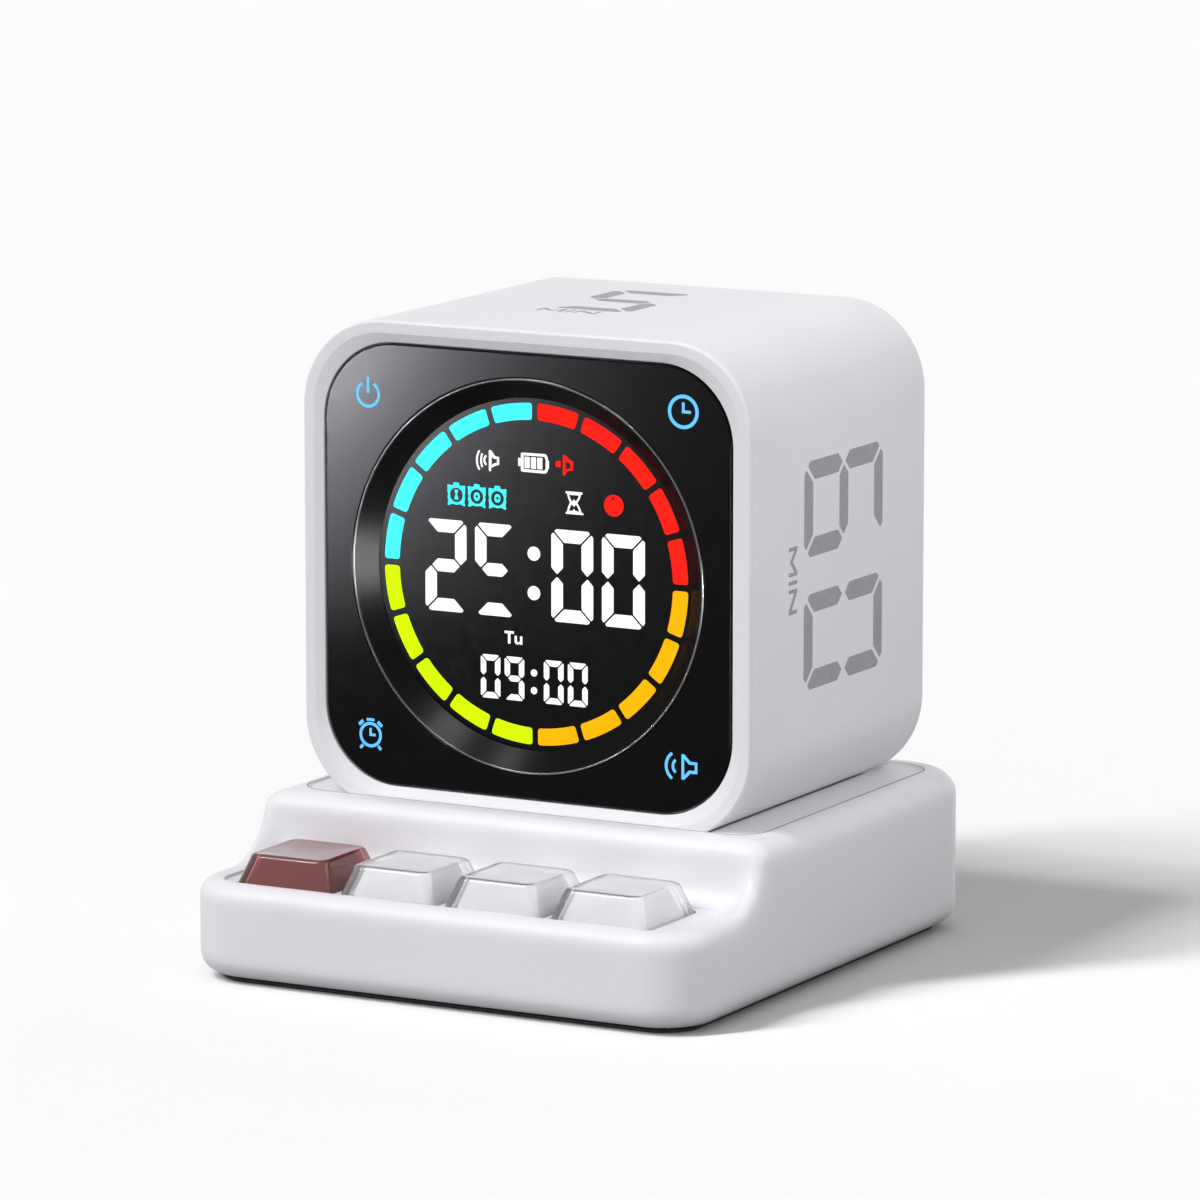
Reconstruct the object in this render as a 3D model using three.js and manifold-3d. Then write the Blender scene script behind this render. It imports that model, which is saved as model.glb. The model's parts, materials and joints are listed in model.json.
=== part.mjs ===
// Cube timer that stands on a base with four mechanical keys.
// Millimetres, +Z up. The origin is the middle of the base's footprint on the table.
// The front looks along -Y.

import * as THREE from 'three';
import { mergeVertices } from 'three/addons/utils/BufferGeometryUtils.js';
import Module from 'manifold-3d';

const wasm = await Module();
wasm.setup();

// Driving dimensions: base
const baseWidth = 93.2;
const baseDepth = 101.3;
const deckHeight = 26.8;
const rimHeight = 16.4;
const planCorner = 10;
const baseWall = 2.4;
const padThickness = 0.6;
const padInset = 3.6;
const padChamfer = 0.15;
const bottomRoundOut = 3.2;
const bottomRoundUp = 4.2;
const bottomLip = 1.6;
const rimRound = 3;
const stepSetback = 25.05;
const stepCorner = 4;
const stepTopCorner = 1.6;
const stepFootRound = 2.4;
const deckFrontRound = 3;
const deckEdgeRound = 4.2;
const rimFlareLength = 9;
const rimFlareRise = 2.6;
const coverThickness = 2;

// Driving dimensions: key trough, dock recess and the cradle in it that the cube's underside lies in
const troughDepth = 0.5;
const troughRim = 3.35;
const troughSideRim = 5.2;
const troughLength = 18.7;
const troughCorner = 4;
const dockDepth = 0.3;
const dockMargin = 0.9;
const dockCorner = 5;
const cradleDepth = 2.25;

// Driving dimensions: cube
const cubeWidth = 81.5;
const cubeHeight = 79.6;
const cubeDepth = 63;
const cubeCorner = 14.5;
const cubeSetback = 30.8;
const shellWall = 2.4;
const rearRound = 1.5;
const rearCoverThickness = 2.2;
const rearCoverSink = 0.3;

// Driving dimensions: bezel, panel and dial, counted back from the cube's front face
const bezelLip = 0.9;
const bezelEdgeRound = 0.6;
const bezelBand = 2.15;
const bezelBevelWidth = 1.45;
const bezelBevelDepth = 0.6;
const panelCorner = 13;
const bezelLedge = 1.7;
const bezelLedgeThickness = 1.55;
const bezelSpigotWall = 1.7;
const panelThickness = 1.8;
const panelChamfer = 0.25;
const dialRadius = 31.7;
const dialLip = 0.2;
const dialDepth = 2.6;
const dialInnerRadius = 28.6;
const dialFlange = 1.6;
const windowOverlap = 1.4;
const windowThickness = 1;
const lightBoxThickness = 4;
const boardThickness = 1.6;

// Driving dimensions: display cells
const segmentCount = 20;
const segmentOuterRadius = 27.7;
const segmentInnerRadius = 25;
const segmentGap = 1.1;
const timerDigit = { width: 7.6, height: 15, bar: 2.1, gap: 0.35, colonRise: 3.2, colonRadius: 1.15 };
const timerDigitCentres = [-16.4, -7.4, 6.8, 16];
const timerRowHeight = 0.2;
const clockDigit = { width: 3.55, height: 7.1, bar: 0.95, gap: 0.22, colonRise: 1.5, colonRadius: 0.6 };
const clockDigitCentres = [-8.2, -3.8, 3.4, 7.8];
const clockRowHeight = -17.2;
const colonCentre = -0.2;

// Driving dimensions: keys and switches
const keyCount = 4;
const keyPitch = 19.05;
const keyRowX = -0.9;
const keySkirtWidth = 17.6;
const keyTopWidth = 14;
const keyRise = 4.9;
const keySkirtLength = 3.5;
const keyCorner = 1.8;
const keyEdgeRound = 0.45;
const keyShellWall = 1.1;
const keyCoreWall = 1;
const keyCoreTopWall = 1.2;
const keyCoreSkirt = 0.7;
const keyTravel = 3;
const keyStopGap = 0.2;
const keyGuideGap = 0.35;
const postSpread = 4.5;
const stemShaftRadius = 2.7;
const stemCrossWidth = 4;
const stemCrossArm = 1.2;
const stemCrossHeight = 2.6;
const stemBoreRadius = 2.2;
const stemFlangeRadius = 3.6;
const stemFlangeThickness = 0.8;
const stemSkirt = 0.9;
const stemRoof = 1.4;
const stemRunningGap = 0.4;
const switchBodyWidth = 13.4;
const switchFlangeWidth = 15;
const switchFlangeThickness = 0.8;
const switchDepthBelowFlange = 4.1;
const switchWall = 1.2;
const switchCorner = 0.8;
const switchCoverHeight = 2.6;
const switchCoverTopWidth = 9.6;
const switchCoverWall = 1;
const switchPostRadius = 1.4;
const switchPostHeight = 1.8;
const plateThickness = 1.5;
const plateMargin = 1;
const plateCorner = 2;
const springWireRadius = 0.17;
const springTurns = 4;
const springGap = 0.2;

// Driving dimensions: parts inside the cube and fasteners
const mainBoardWidth = 54;
const mainBoardHeight = 27;
const mainBoardCentreY = -17;
const mainBoardCorner = 1.5;
const standoffRadius = 2.2;
const standoffHeight = 7.4;
const standoffInset = 3;
const batteryWidth = 50;
const batteryLength = 32;
const batteryThickness = 8;
const batteryRound = 3.4;
const speakerRadius = 14;
const speakerThickness = 4.6;
const speakerRim = 1.6;
const speakerBasketRadius = 8.4;
const speakerBasketRise = 0.9;
const speakerCentreY = 17;
const speakerWall = 1.2;
const speakerWallHeight = 3;
const grilleHoleRadius = 0.9;
const grillePitch = 3.6;
const grilleLaps = 2;
const grilleHolesPerLap = 6;
const socketWidth = 8.94;
const socketHeight = 3.26;
const socketWall = 0.33;
const socketBottom = 2;
const socketTongueWidth = 6.7;
const socketTongueThickness = 0.7;
const socketTongueSetback = 0.6;
const socketEndFlat = 0.1;
const socketCentreY = -22;
const sensorSize = 5;
const sensorThickness = 1.5;
const sensorCentre = [14, -9];
const bossRadius = 3.2;
const bossSink = 0.8;
const screwShaftRadius = 1.1;
const screwHeadRadius = 2.3;
const screwHeadHeight = 1.1;
const screwLength = 8;
const screwCrown = 0.4;
const screwHoleExtra = 1.5;

// Clearance between pieces that seat on each other
const clearance = 0.3;

// Length by which a cutting form runs past the face that it opens
const overrun = 1;

// Smoothness of the round forms
const planSteps = 6;
const edgeSteps = 4;
const faceSteps = 6;
const flareSteps = 6;
const keySteps = 2;
const smallSteps = 2;
const chamferSteps = 1;
const dialSides = 36;
const speakerSides = 18;
const rodSides = 10;
const holeSides = 6;
const springSteps = 6;
const springSides = 4;
const mergeDistance = 1e-4;

// Levels of the base, counted up from the table
const halfWidth = baseWidth / 2;
const frontY = -baseDepth / 2;
const rearY = baseDepth / 2;
const stepY = frontY + stepSetback;
const shellBottom = padThickness + clearance;
const coverBottom = shellBottom + clearance;
const coverTop = coverBottom + coverThickness;
const troughFloor = rimHeight - troughDepth;
const troughFront = frontY + troughRim;
const troughRear = troughFront + troughLength;
const keyRowY = (troughFront + troughRear) / 2;
const dockFloor = deckHeight - dockDepth;
const cradleFloor = deckHeight - cradleDepth;
const innerHalf = halfWidth - baseWall;
const openingInset = bottomRoundOut + bottomLip;

// Levels of the key and its switch at rest
const keyTop = troughFloor + keyRise;
const keyBottom = troughFloor - keySkirtLength;
const shellCeiling = keyTop - keyShellWall;
const coreTop = shellCeiling - clearance;
const coreBottom = troughFloor - keyCoreSkirt;
const coreCeiling = coreTop - keyCoreTopWall;
const crossTop = coreCeiling - clearance;
const shaftTop = crossTop - stemCrossHeight;
const switchCoverTop = coreBottom - keyTravel - keyStopGap;
const switchCoverBottom = switchCoverTop - switchCoverHeight;
const flangeTop = switchCoverBottom - clearance;
const flangeBottom = flangeTop - switchFlangeThickness;
const plateTop = flangeBottom - clearance;
const plateBottom = plateTop - plateThickness;
const switchBottom = flangeBottom - switchDepthBelowFlange;
const switchFloor = switchBottom + switchWall;
const stemFlangeTop = switchCoverTop - switchCoverWall - clearance;
const stemFlangeBottom = stemFlangeTop - stemFlangeThickness;
const stemBottom = stemFlangeBottom - stemSkirt;
const boreCeiling = shaftTop - stemRoof;

// Levels of the cube's face, counted forward from its front plane
const cubeFrontY = frontY + cubeSetback;
const cubeCentreZ = cradleFloor + clearance + cubeHeight / 2;
const panelInset = bezelBand + bezelBevelWidth;
const panelFront = -bezelBevelDepth;
const panelRear = panelFront - panelThickness;
const ledgeFront = panelRear - clearance;
const ledgeRear = ledgeFront - bezelLedgeThickness;
const dialFloor = panelFront - dialDepth;
const windowFront = dialFloor - dialLip - clearance;
const windowRear = windowFront - windowThickness;
const windowRadius = dialInnerRadius + windowOverlap;
const lightBoxFront = windowRear - clearance;
const lightBoxRear = lightBoxFront - lightBoxThickness;
const displayBoardFront = lightBoxRear - clearance;
const displayBoardRear = displayBoardFront - boardThickness;
const spigotInset = shellWall + clearance;
const spigotRear = displayBoardRear - clearance;
const sleeveFront = -bezelLip - clearance;
const sleeveRear = -cubeDepth;
const rearCoverBack = sleeveRear + rearCoverSink;
const rearCoverFace = rearCoverBack + rearCoverThickness;
const standoffTop = rearCoverFace + standoffHeight;
const mainBoardRear = standoffTop + clearance;
const mainBoardFront = mainBoardRear + boardThickness;

function facingOut(geometry) {
  const p = geometry.attributes.position;
  const faces = geometry.index.array;
  const corner = (i) => new THREE.Vector3().fromBufferAttribute(p, faces[i]);
  let volume = 0;
  for (let i = 0; i < faces.length; i += 3) {
    volume += corner(i).dot(corner(i + 1).cross(corner(i + 2)));
  }
  if (volume < 0) {
    for (let i = 0; i < faces.length; i += 3) {
      [faces[i], faces[i + 1]] = [faces[i + 1], faces[i]];
    }
  }
  return geometry;
}

function merged(geometry) {
  const bare = geometry.clone();
  bare.deleteAttribute('normal');
  bare.deleteAttribute('uv');
  return facingOut(mergeVertices(bare, mergeDistance));
}

function solid(geometry) {
  const closed = merged(geometry);
  const vertProperties = new Float32Array(closed.attributes.position.array);
  const triVerts = new Uint32Array(closed.index.array);
  return new wasm.Manifold(new wasm.Mesh({ numProp: 3, vertProperties, triVerts }));
}

function geometryOf(body) {
  const mesh = body.getMesh();
  const geometry = new THREE.BufferGeometry();
  geometry.setAttribute('position', new THREE.BufferAttribute(mesh.vertProperties, 3));
  geometry.setIndex(new THREE.BufferAttribute(mesh.triVerts, 1));
  return geometry;
}

function join(geometries) {
  const bodies = geometries.map(solid);
  return geometryOf(bodies.reduce((whole, body) => whole.add(body)));
}

function cut(geometry, tools) {
  const bodies = tools.map(solid);
  return geometryOf(bodies.reduce((whole, body) => whole.subtract(body), solid(geometry)));
}

// A closed outline with rounded corners at one level.
// The corners at the low y end may differ from those at the high end.
function outline(box, level, steps) {
  const corners = [
    { x: 1, y: box.rear, side: -1, radius: box.rearCorner },
    { x: -1, y: box.rear, side: -1, radius: box.rearCorner },
    { x: -1, y: box.front, side: 1, radius: box.frontCorner },
    { x: 1, y: box.front, side: 1, radius: box.frontCorner },
  ];
  const points = [];
  corners.forEach(({ x, y, side, radius }, quarter) => {
    const centreX = (box.centreX ?? 0) + x * (box.halfX - radius);
    const centreY = y + side * radius;
    for (let i = 0; i <= steps; i += 1) {
      const angle = (quarter + i / steps) * Math.PI / 2;
      const px = centreX + radius * Math.cos(angle);
      const py = centreY + radius * Math.sin(angle);
      points.push(new THREE.Vector3(px, py, level));
    }
  });
  return points;
}

function rectangle(halfX, halfY, corner, centre = [0, 0]) {
  const [centreX, centreY] = centre;
  return {
    centreX,
    halfX,
    front: centreY - halfY,
    rear: centreY + halfY,
    frontCorner: corner,
    rearCorner: corner,
  };
}

// A skin through outlines with equally many points.
// It is closed by end faces, or by running back to the first outline.
function loft(outlines, looped = false) {
  const count = outlines[0].length;
  const faces = [];
  const bands = looped ? outlines.length : outlines.length - 1;
  for (let i = 0; i < bands; i += 1) {
    const lower = i * count;
    const upper = ((i + 1) % outlines.length) * count;
    for (let j = 0; j < count; j += 1) {
      const next = (j + 1) % count;
      faces.push(lower + j, lower + next, upper + next);
      faces.push(lower + j, upper + next, upper + j);
    }
  }
  if (!looped) {
    const last = (outlines.length - 1) * count;
    for (let j = 1; j < count - 1; j += 1) {
      faces.push(0, j + 1, j);
      faces.push(last, last + j, last + j + 1);
    }
  }
  const geometry = new THREE.BufferGeometry();
  const positions = outlines.flat().flatMap((point) => point.toArray());
  geometry.setAttribute('position', new THREE.Float32BufferAttribute(positions, 3));
  geometry.setIndex(faces);
  return facingOut(geometry);
}

function prism(box, from, to, steps) {
  return loft([outline(box, from, steps), outline(box, to, steps)]);
}

function rod(radius, from, to, x = 0, y = 0, sides = rodSides) {
  const geometry = new THREE.CylinderGeometry(radius, radius, to - from, sides);
  geometry.rotateX(Math.PI / 2);
  geometry.translate(x, y, (from + to) / 2);
  return geometry;
}

function block(sizeX, sizeY, from, to, x = 0, y = 0) {
  const geometry = new THREE.BoxGeometry(sizeX, sizeY, to - from);
  geometry.translate(x, y, (from + to) / 2);
  return geometry;
}

// A turned solid about the z axis from a closed profile of radius and level.
function turned(profile, sides) {
  const points = profile.map(([radius, level]) => new THREE.Vector2(radius, level));
  const geometry = new THREE.LatheGeometry(points, sides);
  geometry.rotateX(Math.PI / 2);
  return merged(geometry);
}

// How far a convex round has drawn in at a level, for a round that ends at the top.
function roundInset(level, top, radius) {
  const climb = Math.min(Math.max(level - (top - radius), 0), radius);
  return radius - Math.sqrt(radius * radius - climb * climb);
}

function levelsOfRound(top, radius, steps) {
  const levels = [];
  for (let i = 0; i <= steps; i += 1) {
    levels.push(top - radius + radius * Math.sin((i / steps) * Math.PI / 2));
  }
  return levels;
}

// Base

function lowerBlock() {
  const outlines = [];
  const plan = (inset, level) => {
    const box = rectangle(halfWidth - inset, baseDepth / 2 - inset, planCorner - inset);
    outlines.push(outline(box, level, planSteps));
  };
  for (let i = 0; i <= edgeSteps; i += 1) {
    const angle = (i / edgeSteps) * Math.PI / 2;
    plan(bottomRoundOut * (1 - Math.sin(angle)), shellBottom + bottomRoundUp * (1 - Math.cos(angle)));
  }
  levelsOfRound(rimHeight, rimRound, edgeSteps).forEach((level) => {
    plan(roundInset(level, rimHeight, rimRound), level);
  });
  return loft(outlines);
}

function deckBlock() {
  const outlines = [];
  const plan = (forward, level) => {
    const side = roundInset(level, deckHeight, deckEdgeRound);
    const front = roundInset(level, deckHeight, deckFrontRound);
    const box = {
      halfX: halfWidth - side,
      front: stepY - forward + front,
      rear: rearY - side,
      frontCorner: Math.max(stepCorner - front, stepTopCorner),
      rearCorner: planCorner - side,
    };
    outlines.push(outline(box, level, planSteps));
  };
  plan(stepFootRound, rimHeight - rimRound);
  for (let i = 0; i <= edgeSteps; i += 1) {
    const angle = (i / edgeSteps) * Math.PI / 2;
    plan(stepFootRound * (1 - Math.sin(angle)), rimHeight + stepFootRound * (1 - Math.cos(angle)));
  }
  levelsOfRound(deckHeight, deckEdgeRound, edgeSteps + 1).forEach((level) => plan(0, level));
  return loft(outlines);
}

// The side rim sweeps up to the raised deck in a hollow curve.
function rimFlare(side) {
  const innerX = halfWidth - troughSideRim + clearance;
  const root = rimHeight - rimRound;
  const outlines = [];
  const section = (y, top) => {
    const points = [new THREE.Vector3(side * halfWidth, y, root)];
    for (let i = 0; i <= edgeSteps; i += 1) {
      const angle = (i / edgeSteps) * Math.PI / 2;
      const x = halfWidth - rimRound * (1 - Math.cos(angle));
      points.push(new THREE.Vector3(side * x, y, top - rimRound * (1 - Math.sin(angle))));
    }
    points.push(new THREE.Vector3(side * innerX, y, top - clearance));
    points.push(new THREE.Vector3(side * innerX, y, root));
    return points;
  };
  for (let i = 0; i <= flareSteps; i += 1) {
    const along = Math.sin((i / flareSteps) * Math.PI / 2);
    const lift = 1 - Math.sqrt(1 - along * along);
    outlines.push(section(stepY - rimFlareLength * (1 - along), rimHeight + rimFlareRise * lift));
  }
  outlines.push(section(stepY + stepCorner, rimHeight + rimFlareRise));
  return loft(outlines);
}

const coverInset = openingInset + clearance;
const bossX = halfWidth - coverInset - screwHeadRadius - bossRadius / 2;
const baseBosses = [-1, 1].flatMap((side) => [
  { x: side * bossX, y: stepY, top: troughFloor - baseWall / 2 },
  { x: side * bossX, y: rearY - planCorner, top: cradleFloor - baseWall / 2 },
]);

function keyX(index) {
  return keyRowX + (index - (keyCount - 1) / 2) * keyPitch;
}

const keyIndexes = Array.from({ length: keyCount }, (_, index) => index);

// The space of the cube's underside in the deck, with a clearance round it.
function cradle() {
  const space = prism(faceBox(-clearance), -cubeDepth - dockMargin, dockMargin, faceSteps);
  space.rotateX(Math.PI / 2);
  space.translate(0, cubeFrontY, cubeCentreZ);
  return space;
}

function baseShell() {
  const outside = join([lowerBlock(), deckBlock(), rimFlare(-1), rimFlare(1)]);
  const openingCorner = planCorner - openingInset;
  const opening = rectangle(halfWidth - openingInset, baseDepth / 2 - openingInset, openingCorner);
  const lowInside = rectangle(innerHalf, baseDepth / 2 - baseWall, planCorner - baseWall);
  const deckInside = {
    halfX: innerHalf,
    front: stepY + baseWall,
    rear: rearY - baseWall,
    frontCorner: stepCorner - baseWall / 2,
    rearCorner: planCorner - baseWall,
  };
  const ceiling = troughFloor - baseWall;
  const lipTop = shellBottom + bottomRoundUp;
  const troughHalf = halfWidth - troughSideRim;
  const trough = rectangle(troughHalf, troughLength / 2, troughCorner, [0, keyRowY]);
  const dockHalf = cubeWidth / 2 + dockMargin;
  const dock = {
    halfX: dockHalf,
    front: cubeFrontY - dockMargin,
    rear: cubeFrontY + cubeDepth + dockMargin,
    frontCorner: dockCorner,
    rearCorner: dockCorner,
  };
  const guideHalf = keySkirtWidth / 2 + keyGuideGap;
  const guide = (index) => rectangle(guideHalf, guideHalf, keyCorner + keyGuideGap, [keyX(index), keyRowY]);
  const hollow = cut(outside, [
    prism(opening, 0, lipTop, planSteps),
    prism(lowInside, lipTop - clearance, ceiling, planSteps),
    prism(deckInside, lipTop, cradleFloor - baseWall, planSteps),
    prism(trough, troughFloor, deckHeight, edgeSteps),
    prism(dock, dockFloor, deckHeight + overrun, edgeSteps),
    cradle(),
    ...keyIndexes.map((index) => prism(guide(index), ceiling - overrun, troughFloor + overrun, keySteps)),
  ]);
  const bosses = baseBosses.map(({ x, y, top }) => rod(bossRadius, coverTop + clearance, top, x, y));
  const pilot = screwShaftRadius + clearance;
  const pilotTop = coverTop + screwLength;
  const pilots = baseBosses.map(({ x, y }) => rod(pilot, shellBottom, pilotTop, x, y, holeSides));
  return cut(join([hollow, ...bosses]), pilots);
}

function screwSeats(places, headLevel, through) {
  return places.flatMap(({ x, y }) => [
    rod(screwHeadRadius + clearance, headLevel - overrun, headLevel + screwHeadHeight + clearance, x, y),
    rod(screwShaftRadius + clearance, headLevel, through, x, y, holeSides),
  ]);
}

const postPlaces = [];
for (let gap = 0; gap < keyCount - 1; gap += 1) {
  [-1, 1].forEach((end) => {
    const x = (keyX(gap) + keyX(gap + 1)) / 2;
    postPlaces.push({ x, y: keyRowY + end * postSpread });
  });
}

function bottomCover() {
  const box = rectangle(halfWidth - coverInset, baseDepth / 2 - coverInset, planCorner - coverInset);
  const plate = prism(box, coverBottom, coverTop, planSteps);
  const rise = plateBottom - clearance;
  const postRadius = (keyPitch - switchBodyWidth) / 2 - 2 * clearance;
  const root = coverTop - coverThickness / 2;
  const posts = postPlaces.map(({ x, y }) => rod(postRadius, root, rise, x, y, holeSides));
  return cut(join([plate, ...posts]), screwSeats(baseBosses, coverBottom, coverTop + overrun));
}

function footPad() {
  const box = (inset) => rectangle(halfWidth - inset, baseDepth / 2 - inset, planCorner - inset);
  return loft([
    outline(box(padInset + padChamfer), 0, planSteps),
    outline(box(padInset), padChamfer, planSteps),
    outline(box(padInset), padThickness, planSteps),
  ]);
}

// A pan head screw whose head sits at its low end and whose shaft runs up.
function screw() {
  return turned([
    [0, 0],
    [screwHeadRadius - screwCrown, 0],
    [screwHeadRadius, screwCrown],
    [screwHeadRadius, screwHeadHeight],
    [screwShaftRadius, screwHeadHeight],
    [screwShaftRadius, screwLength - screwShaftRadius],
    [0, screwLength],
  ], holeSides);
}

// Keys

function keySkin(inset, levels, corner) {
  return levels.map(([half, level]) => {
    const size = half - inset;
    return outline(rectangle(size, size, Math.min(corner, size / 2)), level, keySteps);
  });
}

const keySlope = (keySkirtWidth - keyTopWidth) / 2 / keyRise;

function keyHalfAt(level) {
  return keySkirtWidth / 2 - keySlope * Math.max(level - troughFloor, 0);
}

function keycapShell() {
  const shoulder = (level) => [keyHalfAt(level) - roundInset(level, keyTop, keyEdgeRound), level];
  const outside = loft(keySkin(0, [
    [keyHalfAt(keyBottom), keyBottom],
    [keyHalfAt(troughFloor), troughFloor],
    ...levelsOfRound(keyTop, keyEdgeRound, smallSteps).map(shoulder),
  ], keyCorner));
  const inside = loft(keySkin(keyShellWall, [
    [keyHalfAt(keyBottom), keyBottom - overrun],
    [keyHalfAt(troughFloor), troughFloor],
    [keyHalfAt(shellCeiling), shellCeiling],
  ], keyCorner - keyShellWall / 2));
  return cut(outside, [inside]);
}

function crossArms(width, arm, from, to) {
  return [block(width, arm, from, to), block(arm, width, from, to)];
}

function keycapCore() {
  const inset = keyShellWall + clearance;
  const corner = keyCorner - keyShellWall / 2;
  const outside = loft(keySkin(inset, [
    [keyHalfAt(coreBottom), coreBottom],
    [keyHalfAt(troughFloor), troughFloor],
    [keyHalfAt(coreTop), coreTop],
  ], corner));
  const inside = loft(keySkin(inset + keyCoreWall, [
    [keyHalfAt(coreBottom), coreBottom - overrun],
    [keyHalfAt(troughFloor), troughFloor],
    [keyHalfAt(coreCeiling), coreCeiling],
  ], corner));
  const post = rod(stemShaftRadius, shaftTop + clearance, coreTop - keyCoreTopWall / 2);
  const socketSize = stemCrossWidth + 2 * clearance;
  const socketArm = stemCrossArm + 2 * clearance;
  const socket = crossArms(socketSize, socketArm, shaftTop, coreCeiling);
  return cut(join([cut(outside, [inside]), post]), socket);
}

function switchStem() {
  const shaft = turned([
    [0, boreCeiling],
    [stemBoreRadius, boreCeiling],
    [stemBoreRadius, stemBottom],
    [stemShaftRadius, stemBottom],
    [stemShaftRadius, stemFlangeBottom],
    [stemFlangeRadius, stemFlangeBottom],
    [stemFlangeRadius, stemFlangeTop],
    [stemShaftRadius, stemFlangeTop],
    [stemShaftRadius, shaftTop],
    [0, shaftTop],
  ], rodSides);
  return join([shaft, ...crossArms(stemCrossWidth, stemCrossArm, shaftTop - stemRoof / 2, crossTop)]);
}

function switchBase() {
  const half = switchBodyWidth / 2;
  const flangeHalf = switchFlangeWidth / 2;
  const cavityHalf = half - switchWall;
  const body = prism(rectangle(half, half, switchCorner), switchBottom, flangeTop, chamferSteps);
  const rim = rectangle(flangeHalf, flangeHalf, switchCorner);
  const flange = prism(rim, flangeBottom, flangeTop, chamferSteps);
  const well = rectangle(cavityHalf, cavityHalf, switchCorner);
  const cavity = prism(well, switchFloor, flangeTop + overrun, chamferSteps);
  const post = rod(switchPostRadius, switchFloor - switchWall / 2, switchFloor + switchPostHeight);
  return join([cut(join([body, flange]), [cavity]), post]);
}

function switchCover() {
  const bottomHalf = keySkirtWidth / 2 - keyShellWall - clearance;
  const topHalf = switchCoverTopWidth / 2;
  const taper = (bottomHalf - topHalf) / switchCoverHeight;
  const ceiling = switchCoverTop - switchCoverWall;
  const innerHalfAt = (level) => bottomHalf - switchCoverWall - taper * (level - switchCoverBottom);
  const skin = (half, level) => outline(rectangle(half, half, switchCorner), level, chamferSteps);
  const outside = loft([skin(bottomHalf, switchCoverBottom), skin(topHalf, switchCoverTop)]);
  const inside = loft([
    skin(innerHalfAt(switchCoverBottom - overrun), switchCoverBottom - overrun),
    skin(innerHalfAt(ceiling), ceiling),
  ]);
  const mouth = rod(stemShaftRadius + stemRunningGap, ceiling - overrun, switchCoverTop + overrun);
  return cut(outside, [inside, mouth]);
}

function switchSpring() {
  const meanRadius = stemBoreRadius - springWireRadius - springGap;
  const bottom = switchFloor + springWireRadius + springGap;
  const top = boreCeiling - springWireRadius - springGap;
  const outlines = [];
  const steps = springTurns * springSteps;
  for (let i = 0; i <= steps; i += 1) {
    const turn = (i / springSteps) * 2 * Math.PI;
    const along = i / steps;
    const points = [];
    for (let j = 0; j < springSides; j += 1) {
      const angle = (j / springSides) * 2 * Math.PI;
      const radius = meanRadius + springWireRadius * Math.cos(angle);
      const level = bottom + (top - bottom) * along + springWireRadius * Math.sin(angle);
      points.push(new THREE.Vector3(radius * Math.cos(turn), radius * Math.sin(turn), level));
    }
    outlines.push(points);
  }
  return loft(outlines);
}

function switchPlate() {
  const halfX = ((keyCount - 1) / 2) * keyPitch + switchFlangeWidth / 2 + plateMargin;
  const halfY = switchFlangeWidth / 2 + plateMargin;
  const box = rectangle(halfX, halfY, plateCorner, [keyRowX, keyRowY]);
  const plate = prism(box, plateBottom, plateTop, edgeSteps);
  const holeSize = switchBodyWidth + 2 * clearance;
  const from = plateBottom - overrun;
  const to = plateTop + overrun;
  return cut(plate, keyIndexes.map((index) => block(holeSize, holeSize, from, to, keyX(index), keyRowY)));
}

// Cube, in a frame whose x runs right, y runs up and z comes forward out of the face

function faceBox(inset) {
  return rectangle(cubeWidth / 2 - inset, cubeHeight / 2 - inset, cubeCorner - inset);
}

function faceOutline(inset, level) {
  return outline(faceBox(inset), level, faceSteps);
}

// The opening that holds the panel is rounder than the cube's own corners.
function openingOutline(inset, level) {
  const corner = panelCorner - (inset - panelInset);
  return outline(rectangle(cubeWidth / 2 - inset, cubeHeight / 2 - inset, corner), level, faceSteps);
}

const cubeBossReach = (cubeCorner - shellWall - bossRadius + bossSink) / Math.SQRT2;
const cubeBossX = cubeWidth / 2 - cubeCorner + cubeBossReach;
const cubeBossY = cubeHeight / 2 - cubeCorner + cubeBossReach;
const cornerSigns = [[-1, -1], [1, -1], [1, 1], [-1, 1]];
const cubeBosses = cornerSigns.map(([x, y]) => ({ x: x * cubeBossX, y: y * cubeBossY }));

function cubeShell() {
  const outlines = [];
  for (let i = 0; i <= edgeSteps; i += 1) {
    const angle = (i / edgeSteps) * Math.PI / 2;
    const inset = rearRound * (1 - Math.sin(angle));
    outlines.push(faceOutline(inset, sleeveRear + rearRound * (1 - Math.cos(angle))));
  }
  outlines.push(faceOutline(0, sleeveFront));
  const bore = prism(faceBox(shellWall), sleeveRear - overrun, sleeveFront + overrun, faceSteps);
  const sleeve = cut(loft(outlines), [bore]);
  const bossFront = rearCoverFace + clearance + screwLength;
  const bosses = cubeBosses.map(({ x, y }) => rod(bossRadius, rearCoverFace + clearance, bossFront, x, y));
  const pilot = screwShaftRadius + clearance;
  const pilotEnd = bossFront - screwHoleExtra;
  const pilots = cubeBosses.map(({ x, y }) => rod(pilot, sleeveRear, pilotEnd, x, y, holeSides));
  return cut(join([sleeve, ...bosses]), pilots);
}

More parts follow.
